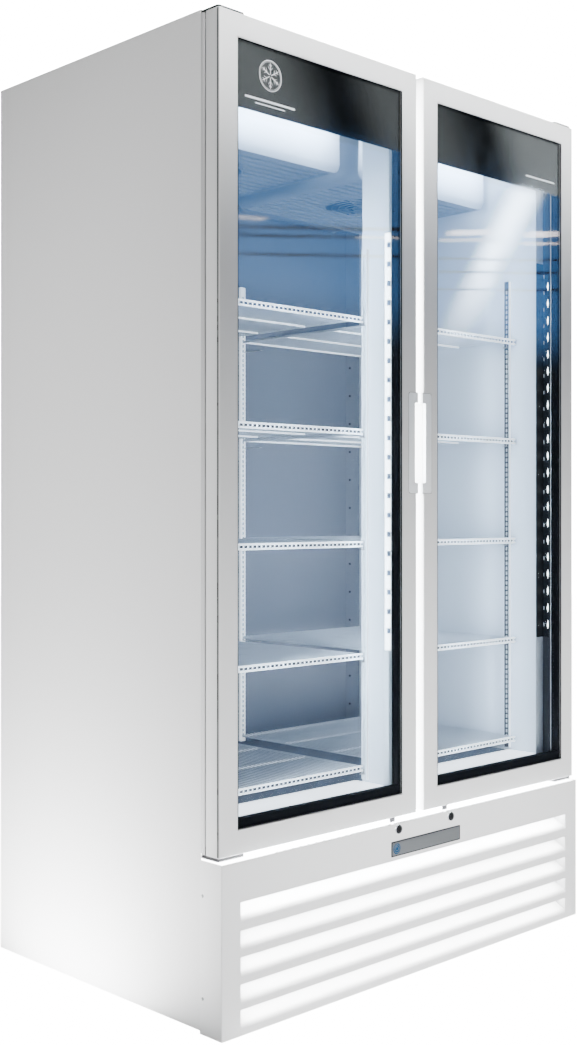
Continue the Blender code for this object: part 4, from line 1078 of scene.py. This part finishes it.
def build_louvre(number, top):
    """A slot's louvre: the lower strip's edge rolled back and up, with a cheek at each end."""
    front, back = GRILLE_LOW.y, GRILLE_HIGH.y
    face = top - SLOT_HEIGHT - ROLL_RADIUS
    slope = Vector((math.sin(LOUVRE_RISE), math.cos(LOUVRE_RISE)))

    def rolled(radius):
        turns = [LOUVRE_RISE * k / 8 for k in range(9)]
        return [(front + ROLL_RADIUS - radius * math.cos(a), face + radius * math.sin(a)) for a in turns]

    outer, inner = rolled(ROLL_RADIUS), rolled(ROLL_RADIUS - GRILLE_SHEET)
    end = Vector(outer[-1]) + slope * LOUVRE_DEPTH
    outer.append((min(end.x, back - 0.004), end.y))
    inner.append((outer[-1][0] + slope.y * GRILLE_SHEET, outer[-1][1] - slope.x * GRILLE_SHEET))
    bm = add_prism(bmesh.new(), outer + inner[::-1], 0, -SLOT_HALF_WIDTH, SLOT_HALF_WIDTH)
    for x in (-SLOT_HALF_WIDTH, SLOT_HALF_WIDTH - GRILLE_SHEET):
        add_box(bm, (x, front + 0.0004, face), (x + GRILLE_SHEET, front + 0.040, top), 0.0003)
    piece(f"grille_louvre_{number}", bm, GRILLE_PAINT, "cabinet", "white_paint")


def build_grille():
    """A folded sheet with five long slots; each strip's upper edge rolls back into a louvre."""
    low, high = GRILLE_LOW, GRILLE_HIGH
    front, back = low.y, high.y
    left, right, skin = low.x + GRILLE_SHEET, high.x - GRILLE_SHEET, front + GRILLE_SHEET
    plan = [
        (low.x, back, 0.0), (low.x, front, 0.003), (high.x, front, 0.003), (high.x, back, 0.0),
        (right, back, 0.0), (right, skin, 0.0015), (left, skin, 0.0015), (left, back, 0.0),
    ]
    bm = add_prism(bmesh.new(), fillet(plan), 2, low.z, high.z, bevel=0.0003, segments=1)
    sheet = piece("grille_sheet", bm, GRILLE_PAINT, "cabinet", "white_paint", "front_grille")
    cutters = []
    for top in SLOT_TOPS:
        z_pair = (top - SLOT_HEIGHT - ROLL_RADIUS, top)
        slot = fillet(rectangle((-SLOT_HALF_WIDTH, SLOT_HALF_WIDTH), z_pair, 0.0008))
        cutters.append(add_prism(bmesh.new(), slot, 1, front - OVERCUT, front + OVERCUT))
    for side, _ in SIDES:
        x, _, z = JOINTS[f"{side}_lock_turn"]["pos_m"]
        cutters.append(drill((x, front, z), 1, LOCK_HOLE, 0.02, 32))
    sides = ((low.x, -1), (high.x, 1))
    screws = [((x, back - SCREW_SETBACK, z), facing) for x, facing in sides for z in GRILLE_SCREW_Z]
    cutters += [drill(centre, 0, 0.0033, 0.004, 24) for centre, _ in screws]
    carve(sheet, *cutters)
    for number, top in enumerate(SLOT_TOPS, 1):
        build_louvre(number, top)
    bm = bmesh.new()
    for (x, y, z), facing in screws:
        add_screw(bm, (x - facing * 0.0015, y, z), 0, 0.0026, facing)
    piece("grille_screws", bm, STEEL, "cabinet", "zinc_steel")


def build_reveals():
    """White covers seen in the gaps: behind the meeting doors and above the grille. They glow, painted
    light for the brightly lit gaps.
    """
    cover_low, cover_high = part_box("mullion_lamp_strip")
    outline = fillet(rectangle((-0.0195, 0.0195), (DOOR_BOTTOM + 0.004, cover_high.z), 0.002))
    bm = add_prism(bmesh.new(), outline, 1, cover_low.y - 0.0011, cover_low.y + 0.0002, bevel=0.0004)
    piece("mullion_face_strip", bm, GAP_PAINTED_LIGHT, "cabinet", "liner_white")
    bm = add_box(
        bmesh.new(), (GRILLE_LOW.x + 0.006, GRILLE_LOW.y + 0.006, GRILLE_HIGH.z - 0.0002),
        (GRILLE_HIGH.x - 0.006, GRILLE_HIGH.y - 0.001, GRILLE_HIGH.z + 0.0004), 0.0001,
    )
    trim = piece("sill_trim", bm, GAP_PAINTED_LIGHT, "cabinet", "white_paint")
    slits = []
    for side, _ in SIDES:
        x, _, z = JOINTS[f"{side}_lock_turn"]["pos_m"]
        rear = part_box(f"{side}_door_lock")[1].y
        slits.append(
            add_box(bmesh.new(), (x - 0.030, rear - 0.0040, z), (x + 0.030, rear + 0.0010, z + 0.030))
        )
    carve(trim, *slits)
    outline = fillet(rectangle((GRILLE_LOW.x + 0.080, GRILLE_HIGH.x - 0.080), (0.330, 0.3530), 0.001))
    bm = add_prism(bmesh.new(), outline, 1, GRILLE_HIGH.y - 0.0016, GRILLE_HIGH.y - 0.0002, bevel=0.0003)
    piece("sill_upstand", bm, GAP_PAINTED_LIGHT, "cabinet", "white_paint")


def build_side_lip(side, sign):
    """The side panel's folded front lip, which fills the gap beside the door."""
    outer = door_ends(side, sign)[0]
    bm = add_box(
        bmesh.new(), (outer, CABINET_FRONT - 0.0120, DOOR_BOTTOM + 0.001),
        (outer - sign * 0.0012, CABINET_FRONT + 0.0002, DOOR_TOP - 0.001), 0.0003,
    )
    piece(f"{side}_side_lip", bm, SOFT_GREY, "cabinet", "white_paint")


def build_sill(side, sign):
    """A glowing strip of floor in front of the lowest shelf: painted light where the sill is brightly lit.
    """
    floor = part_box("insulated_floor")[1].z
    shelf_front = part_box("left_shelf_1")[0].y
    bm = add_box(
        bmesh.new(), (sign * SILL_X[0], BREAKER_REAR + 0.0006, floor + 0.0001),
        (sign * SILL_X[1], shelf_front + 0.030, floor + 0.0008), 0.0003,
    )
    piece(f"{side}_sill_strip", bm, SILL_PAINTED_LIGHT, "cabinet", "liner_white")


def build_lock(side):
    """A plug lock: bright rim, dark face with a key slot, and a cam behind."""
    node = f"{side}_door_lock"
    low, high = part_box(node)
    x, _, z = JOINTS[f"{side}_lock_turn"]["pos_m"]
    face = low.y
    rim = [
        (0.0072, 0.0006), (0.0078, 0.0), (0.0092, 0.0), (0.0100, 0.0010), (0.0100, 0.0028),
        (0.0095, 0.0028), (0.0095, 0.0200), (0.0072, 0.0200),
    ]
    bm = add_turned(bmesh.new(), rim, (x, face, z), 1, 40, closed=True)
    piece(f"{side}_lock_rim", bm, CHROME, f"{side}_lock", "lock_chrome", node)
    plug = [(0.0, 0.0012), (0.0060, 0.0012), (0.0068, 0.0018), (0.0068, 0.0190), (0.0, 0.0190)]
    bm = add_turned(bmesh.new(), plug, (x, face, z), 1, 40)
    obj = piece(f"{side}_lock_plug", bm, CAN, f"{side}_lock", "black_plastic")
    carve(obj, add_box(
        bmesh.new(), (x - 0.0010, face - 0.005, z - 0.0045), (x + 0.0010, face + 0.006, z + 0.0045)
    ))
    tip = Vector((low.x, 0.0, low.z)) - Vector((x, 0.0, z))
    direction = tip.normalized()
    across = Vector((-direction.z, 0.0, direction.x))
    reach = tip.length - 0.0075
    corners = [(-0.006, -0.006), (-0.006, 0.006), (reach, 0.005), (reach, -0.005)]
    points = [
        (x + direction.x * u + across.x * v, z + direction.z * u + across.z * v, 0.003)
        for u, v in corners
    ]
    bm = add_prism(bmesh.new(), fillet(points), 1, high.y - 0.0025, high.y - 0.0004, bevel=0.0003)
    piece(f"{side}_lock_cam", bm, STEEL, f"{side}_lock", "zinc_steel")


def build_badge():
    """A blank plate with a dark border line and a plain blue roundel."""
    front = GRILLE_LOW.y
    outline = fillet(rectangle(BADGE_X, BADGE_Z, 0.002))
    bm = add_prism(bmesh.new(), outline, 1, front - 0.0014, front - 0.0001, bevel=0.0004)
    piece("badge_border", bm, BLACK, "cabinet", "black_plastic")
    inner_x, inner_z = ((pair[0] + BADGE_LINE, pair[1] - BADGE_LINE) for pair in (BADGE_X, BADGE_Z))
    outline = fillet(rectangle(inner_x, inner_z, 0.0015))
    bm = add_prism(bmesh.new(), outline, 1, front - 0.0018, front - 0.0010, bevel=0.0002)
    piece("badge_plate", bm, BADGE, "cabinet", "zinc_steel")
    centre = (BADGE_X[0] + 0.017, front - 0.0018, (BADGE_Z[0] + BADGE_Z[1]) / 2)
    disc = [(0.0, -0.0004), (0.0112, -0.0004), (0.0116, 0.0), (0.0116, 0.0004), (0.0, 0.0004)]
    bm = add_turned(bmesh.new(), disc, centre, 1, 40)
    piece("badge_roundel", bm, BLUE_PRINT, "cabinet", "zinc_steel")
    bm = bmesh.new()
    for radius in (0.0050, 0.0090):
        inside = radius - 0.0008
        ring = [(radius, -0.0007), (radius, -0.0003), (inside, -0.0003), (inside, -0.0007)]
        add_turned(bm, ring, centre, 1, 40, closed=True)
    piece("badge_rings", bm, BADGE, "cabinet", "zinc_steel")


build_grille()
build_reveals()
for side, sign in SIDES:
    build_side_lip(side, sign)
    build_sill(side, sign)
    build_lock(side)
build_badge()


# ---------------------------------------------------------------- machine compartment and feet

THREAD_PITCH = 0.0010
FIELD_INSET = 0.06


def build_foot(node):
    """A levelling foot: a moulded pad on a threaded stem."""
    low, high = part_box(node)
    centre = ((low.x + high.x) / 2, (low.y + high.y) / 2, low.z)
    radius, tall = (high.x - low.x) / 2, high.z - low.z
    profile = [
        (0.0, 0.0), (radius - 0.0015, 0.0), (radius, 0.0015), (radius, 0.0035),
        (radius - 0.004, 0.0052), (0.009, 0.0062), (0.0, 0.0062),
    ]
    bm = add_turned(bmesh.new(), profile, centre, 2, 32)
    piece(f"{node}_pad", bm, BLACK, "cabinet", "black_plastic", node)
    thread = [(0.0, 0.0055)]
    for i in range(int((tall - 0.007) / THREAD_PITCH)):
        z = 0.0060 + i * THREAD_PITCH
        thread += [(0.0050, z), (0.0058, z + THREAD_PITCH / 2)]
    thread += [(0.0050, tall), (0.0, tall)]
    bm = add_turned(bmesh.new(), thread, centre, 2, 24)
    piece(f"{node}_stem", bm, STEEL, "cabinet", "zinc_steel")


def build_back_panel():
    """A back sheet with two pressed fields and a row of low screws round its edge."""
    low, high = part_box("outer_back_panel")
    skin = high.y - 0.0006
    outline = fillet(rectangle((low.x, high.x), (low.z, high.z), 0.001))
    bm = add_prism(bmesh.new(), outline, 1, low.y - 0.0001, skin)
    piece("back_sheet", bm, BODY_PAINT, "cabinet", "white_paint", "outer_back_panel")
    bm = bmesh.new()
    middle = (low.z + high.z) / 2
    for z_pair in ((low.z + FIELD_INSET, middle - 0.02), (middle + 0.02, high.z - FIELD_INSET)):
        field = fillet(rectangle((low.x + FIELD_INSET, high.x - FIELD_INSET), z_pair, 0.03), 6)
        add_prism(bm, field, 1, skin - 0.0002, skin + 0.0004, bevel=0.0003)
    piece("back_fields", bm, BODY_PAINT, "cabinet", "white_paint")
    bm = bmesh.new()
    heights = [low.z + 0.02 + (high.z - low.z - 0.04) * i / 7 for i in range(8)]
    columns = [low.x + (high.x - low.x) * i / 6 for i in range(1, 6)]
    places = [(x, z) for x in (low.x + 0.014, high.x - 0.014) for z in heights]
    places += [(x, z) for x in columns for z in (heights[0], heights[-1])]
    for x, z in places:
        head = [(0.0, -0.0003), (0.0045, -0.0003), (0.0045, 0.0001), (0.0030, 0.0005), (0.0, 0.0006)]
        add_turned(bm, head, (x, skin, z), 1, 16)
    piece("back_screws", bm, STEEL, "cabinet", "zinc_steel")


def build_refrigerant_lines():
    """Copper lines from the compressor to the condenser and up into the cabinet floor."""
    low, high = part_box("compressor")
    x, y = (low.x + high.x) / 2, high.y - 0.085
    coil_low, coil_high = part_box("condenser_coil")
    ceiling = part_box("insulated_floor")[0].z
    coil_y, turn_y, out_x = coil_low.y + 0.02, coil_low.y + 0.06, coil_high.x + 0.10
    bm = bmesh.new()
    discharge = [
        (x + 0.02, y - 0.078, 0.13), (x + 0.02, y - 0.13, 0.13), (x + 0.02, y - 0.13, 0.27),
        (x + 0.02, coil_y, 0.315),
    ]
    add_tube(bm, bent_path(discharge, 0.02, 6), 0.0032, 10)
    suction = [(x, y + 0.078, 0.16), (x, y + 0.13, 0.16), (x, y + 0.13, ceiling + 0.002)]
    add_tube(bm, bent_path(suction, 0.02, 6), 0.0048, 12)
    liquid = [
        (coil_high.x - 0.02, coil_y, coil_high.z - 0.01), (coil_high.x - 0.02, coil_y, 0.320),
        (out_x, turn_y, 0.320), (out_x, turn_y, ceiling + 0.002),
    ]
    add_tube(bm, bent_path(liquid, 0.012, 6), 0.0030, 10)
    piece("refrigerant_lines", bm, COPPER, "cabinet", "zinc_steel")


for end in ("front", "rear"):
    for side, _ in SIDES:
        build_foot(f"{end}_{side}_foot")
build_back_panel()
build_refrigerant_lines()

recoat(BODY_PAINT, "outer_left_panel", "outer_right_panel", "insulated_ceiling")
# the back wall and floor take the liner darkened as painted shade
recoat(LINER_PAINTED_SHADE, "insulated_back_wall", "insulated_floor")
recoat(SIDE_LINER, "insulated_left_wall", "insulated_right_wall")
recoat(POST_WHITE, "centre_mullion")
recoat(BLACK, "front_frame", "light_switch_rocker", "left_evaporator_fan", "right_evaporator_fan",
       "condenser_fan")
recoat(FINS, "condenser_coil", "evaporator_coil")
recoat(CAN, "compressor")
recoat(STEEL, "base_pan")


# ---------------------------------------------------------------- camera, floor and lights

CAMERA_PLACE = (-2.31065, -2.3223, 1.01554)
CAMERA_TURN = -44.341
CAMERA_LENS = 46.64
CAMERA_SHIFT = -0.0091
FLOOR_HALF = 12.0
FLOOR_GLOW = 38.0
FLOOR_FAR = 0.3
FLOOR_SEEN = 16.0
GLOW_CENTRE = (-0.90, 0.12, 0.0)
GLOW_REACH = 0.48
WORLD_LIGHT = 0.32
WORLD_SEEN = 24.0
CARD_Y = -3.0
EYE_X, EYE_Y, EYE_Z = CAMERA_PLACE
MIRROR = (DOOR_FRONT - CARD_Y) / (DOOR_FRONT - EYE_Y)
WHITE = (1.0, 1.0, 1.0)
COOL = (0.70, 0.84, 1.0)


def build_camera():
    """The photo's view, with its verticals kept upright by a shift."""
    data = bpy.data.cameras.new("camera")
    data.lens = CAMERA_LENS
    data.sensor_width = 36.0
    data.shift_y = CAMERA_SHIFT
    data.clip_start = 0.05
    data.clip_end = 100.0
    camera = bpy.data.objects.new("camera", data)
    camera.location = CAMERA_PLACE
    camera.rotation_euler = (math.radians(90.0), 0.0, math.radians(CAMERA_TURN))
    bpy.context.collection.objects.link(camera)
    bpy.context.scene.camera = camera


def soft_box(name, place, target, size, power, spread_angle, color=WHITE):
    """A soft box with a limited beam that neither the camera nor a reflection sees."""
    data = bpy.data.lights.new(name, "AREA")
    data.shape = "RECTANGLE"
    data.size, data.size_y = size
    data.energy = power
    data.color = color
    data.spread = math.radians(spread_angle)
    light = bpy.data.objects.new(name, data)
    light.location = place
    light.rotation_euler = (Vector(target) - Vector(place)).to_track_quat("-Z", "Y").to_euler()
    bpy.context.collection.objects.link(light)
    light.visible_camera = False
    light.visible_glossy = False


def build_floor():
    """A pale floor that is bright to the camera and glows on to the cabinet's left side."""
    bm = bmesh.new()
    corners = rectangle((-FLOOR_HALF, FLOOR_HALF), (-FLOOR_HALF, FLOOR_HALF))
    bm.faces.new([bm.verts.new((x, y, 0.0)) for x, y, _ in corners])
    mat = surface("studio_floor", (0.80, 0.80, 0.80), 0.6, grain=30.0)
    tree = mat.node_tree
    shader = tree.nodes["Principled BSDF"]
    away = tree.nodes.new("ShaderNodeVectorMath")
    away.operation = "DISTANCE"
    away.inputs[1].default_value = GLOW_CENTRE
    tree.links.new(object_coordinates(tree), away.inputs[0])
    glow = ramp_node(tree, away.outputs["Value"], 0.15, GLOW_REACH)
    glow.inputs["To Min"].default_value = FLOOR_GLOW
    glow.inputs["To Max"].default_value = FLOOR_FAR
    rays = tree.nodes.new("ShaderNodeLightPath")
    seen = tree.nodes.new("ShaderNodeMapRange")
    tree.links.new(rays.outputs["Is Camera Ray"], seen.inputs["Value"])
    tree.links.new(glow.outputs["Result"], seen.inputs["To Min"])
    seen.inputs["To Max"].default_value = FLOOR_SEEN
    tree.links.new(seen.outputs["Result"], shader.inputs["Emission Strength"])
    shader.inputs["Emission Color"].default_value = (*WHITE, 1.0)
    floor = link("studio_floor", bm, mat)
    floor.visible_glossy = False


def build_world():
    """White all round: bright behind the object, softer as light on it."""
    world = bpy.data.worlds.new("studio")
    bpy.context.scene.world = world
    world.use_nodes = True
    tree = world.node_tree
    lit = tree.nodes["Background"]
    seen = tree.nodes.new("ShaderNodeBackground")
    for background, strength in ((lit, WORLD_LIGHT), (seen, WORLD_SEEN)):
        background.inputs["Color"].default_value = (*WHITE, 1.0)
        background.inputs["Strength"].default_value = strength
    rays = tree.nodes.new("ShaderNodeLightPath")
    mix_shaders(
        tree, rays.outputs["Is Camera Ray"], lit.outputs["Background"], seen.outputs["Background"],
        "World Output",
    )


def card_x(x):
    """Where on the card plane the door glass at x mirrors to, seen from the camera's place."""
    return x + MIRROR * (x - EYE_X)


def card_z(z):
    """The same for a height on the door glass."""
    return z + MIRROR * (z - EYE_Z)


def ramp_node(tree, value, start, end):
    """A node that gives 0 before start and 1 after end, smoothly."""
    fade = tree.nodes.new("ShaderNodeMapRange")
    fade.interpolation_type = "SMOOTHSTEP"
    fade.inputs["From Min"].default_value = start
    fade.inputs["From Max"].default_value = end
    tree.links.new(value, fade.inputs["Value"])
    return fade


def emitter(name, color, strength):
    """A new glowing material, its node tree and its shader's output."""
    mat, tree, glow = node_tree(name, "ShaderNodeEmission")
    glow.inputs["Color"].default_value = (*color, 1.0)
    glow.inputs["Strength"].default_value = strength
    return mat, tree, glow.outputs["Emission"]


def put_up_card(name, corners, depth, mat):
    """A flat card with (x, z) corners, set depth behind the card plane, for reflections only."""
    bm = bmesh.new()
    bm.faces.new([bm.verts.new((x, CARD_Y + depth, z)) for x, z in corners])
    card = link(name, bm, mat)
    card.visible_camera = False
    card.visible_diffuse = False
    card.visible_shadow = False
    card.visible_transmission = False


def build_card(name, x_pair, z_pair, color, strength, z_fade=0.0, x_fade=(0.0, 0.0), lean=0.0, depth=0.0):
    """A studio card that only reflections see, with soft lower and side edges that may lean."""
    (x0, x1), (z0, z1) = x_pair, z_pair
    mat, tree, glow = emitter(name, color, strength)
    split = tree.nodes.new("ShaderNodeSeparateXYZ")
    tree.links.new(object_coordinates(tree), split.inputs["Vector"])
    fades = []
    if z_fade:
        fades.append(ramp_node(tree, split.outputs["Z"], z0, z0 + z_fade))
    if any(x_fade):
        leaning = tree.nodes.new("ShaderNodeMath")
        leaning.operation = "MULTIPLY_ADD"
        leaning.inputs[1].default_value = -lean
        tree.links.new(split.outputs["Z"], leaning.inputs[0])
        tree.links.new(split.outputs["X"], leaning.inputs[2])
        for x, way, fade in ((x0, 1, x_fade[0]), (x1, -1, x_fade[1])):
            edge = x - lean * z0
            if fade:
                fades.append(ramp_node(tree, leaning.outputs["Value"], edge, edge + way * fade))
    if fades:
        amount = fades[0].outputs["Result"]
        for fade in fades[1:]:
            product = tree.nodes.new("ShaderNodeMath")
            product.operation = "MULTIPLY"
            tree.links.new(amount, product.inputs[0])
            tree.links.new(fade.outputs["Result"], product.inputs[1])
            amount = product.outputs["Value"]
        clear = tree.nodes.new("ShaderNodeBsdfTransparent")
        mix_shaders(tree, amount, clear.outputs["BSDF"], glow, "Material Output")
    else:
        tree.links.new(glow, tree.nodes["Material Output"].inputs["Surface"])
    spare = abs(lean * (z1 - z0))
    corners = ((x0 - spare, z0), (x1 + spare, z0), (x1 + spare, z1), (x0 - spare, z1))
    put_up_card(name, corners, depth, mat)


def build_bar(start, end, thickness, color, strength, depth):
    """A straight band on the cards, from start to end as (x, z) where the door glass shows it."""
    mat, tree, glow = emitter("band", color, strength)
    tree.links.new(glow, tree.nodes["Material Output"].inputs["Surface"])
    corners = [
        (card_x(x), card_z(z + way * thickness / 2))
        for (x, z), way in ((start, -1), (end, -1), (end, 1), (start, 1))
    ]
    put_up_card("band", corners, depth, mat)


def build_cards():
    """What the door glass mirrors: dark surroundings, a blue card, pale bars and grey boxes."""
    header = (card_z(HEADER_BOTTOM), card_z(HEADER_BOTTOM + 0.16))
    build_card("dark_card", (0.3, 6.5), (-3.5, 4.6), (0.6, 0.8, 1.0), 0.06, depth=-0.10)
    build_card(
        "blue_card", (card_x(-0.60), card_x(0.60)), (card_z(1.36), header[0]), (0.13, 0.40, 0.96), 3.0,
        z_fade=0.35,
    )
    pale, dark = (1.0, 0.93, 0.97), (0.35, 0.25, 0.30)
    for start, end, thickness, strength in (
        ((0.10, 1.652), (0.28, 1.680), 0.011, 16.0), ((0.40, 1.692), (0.56, 1.715), 0.013, 16.0),
        ((0.06, 1.630), (0.30, 1.664), 0.006, 8.0), ((0.38, 1.668), (0.56, 1.690), 0.006, 9.0),
        ((-0.545, 1.590), (-0.47, 1.598), 0.006, 7.0), ((-0.20, 1.600), (-0.06, 1.616), 0.005, 6.0),
    ):
        build_bar(start, end, thickness, pale, strength, 0.02)
    for start, end, thickness in (
        ((-0.545, 1.573), (-0.06, 1.636), 0.008), ((-0.545, 1.556), (-0.06, 1.618), 0.007),
        ((-0.545, 1.520), (-0.06, 1.577), 0.007), ((0.06, 1.590), (0.56, 1.650), 0.005),
        ((0.06, 1.560), (0.56, 1.618), 0.006), ((0.06, 1.520), (0.56, 1.575), 0.005),
    ):
        build_bar(start, end, thickness, dark, 0.25, 0.01)
    build_card(
        "beam", (card_x(0.000), card_x(0.160)), (card_z(1.36), header[0]), (0.80, 0.90, 1.0), 230.0,
        z_fade=0.7, x_fade=(0.45, 0.45), lean=0.74, depth=0.005,
    )
    boxes = (
        ((-0.62, -0.22), 2.0, (0.0, 0.55)), ((-0.20, 0.28), 1.2, (0.35, 0.50)),
        ((0.30, 0.62), 2.4, (0.35, 0.0)),
    )
    for x_pair, strength, x_fade in boxes:
        build_card(
            "grey_box", (card_x(x_pair[0]), card_x(x_pair[1])), header, (0.90, 0.98, 1.0), strength,
            x_fade=x_fade, lean=-0.55,
        )


def build_lights():
    """Soft boxes round the cabinet, thin glows in its gaps and cool strips behind the glass."""
    soft_box("front_low", (0.1, -2.4, 0.25), (0.1, -0.38, 0.36), (2.2, 0.5), 19.0, 66.0)
    soft_box("side_soft", (-3.0, 0.1, 1.3), (-0.6, 0.1, 1.25), (0.9, 0.9), 6.0, 60.0)
    soft_box("front_top", (0.0, -1.3, 2.7), (0.0, -0.38, 2.02), (1.6, 0.2), 8.0, 30.0)
    gap_y, sill_z = DOOR_FRONT + 0.016, 0.347
    soft_box("gap_glow", (-0.010, gap_y, 1.17), (1.0, gap_y, 1.17), (0.028, 1.62), 2.6, 160.0)
    soft_box("sill_glow", (0.0, DOOR_FRONT + 0.004, sill_z), (0.0, 0.0, sill_z), (0.98, 0.004), 0.8, 160.0)
    slot_y = GRILLE_LOW.y + GRILLE_SHEET + 0.004
    for top in SLOT_TOPS:
        place, target = (0.0, slot_y, top + 0.006), (0.0, slot_y + 0.006, top - 0.020)
        soft_box("slot_glow", place, target, (1.08, 0.006), 2.3, 150.0)
    for side, sign, back, across in (("left", -1, 1.6, 3.0), ("right", 1, 3.0, 1.5)):
        inner = (
            ("inner_mullion", (0.060, -0.300, 1.03), (0.33, 0.33, 1.03), (0.02, 0.86), back, 110.0),
            ("inner_jamb", (0.530, -0.290, 1.10), (0.037, -0.262, 1.10), (0.02, 1.30), across, 40.0),
            ("wall_wash", (0.20, -0.275, 1.17), (0.54, -0.235, 1.17), (0.02, 1.50), 2.2, 50.0),
            ("housing_front", (0.28, -0.290, 1.890), (0.28, 0.0, 1.880), (0.44, 0.03), 4.2, 84.0),
        )
        for name, place, target, size, power, spread_angle in inner:
            soft_box(
                f"{side}_{name}", (sign * place[0], *place[1:]), (sign * target[0], *target[1:]), size,
                power, spread_angle, COOL,
            )


build_camera()
build_floor()
build_world()
build_lights()
build_cards()
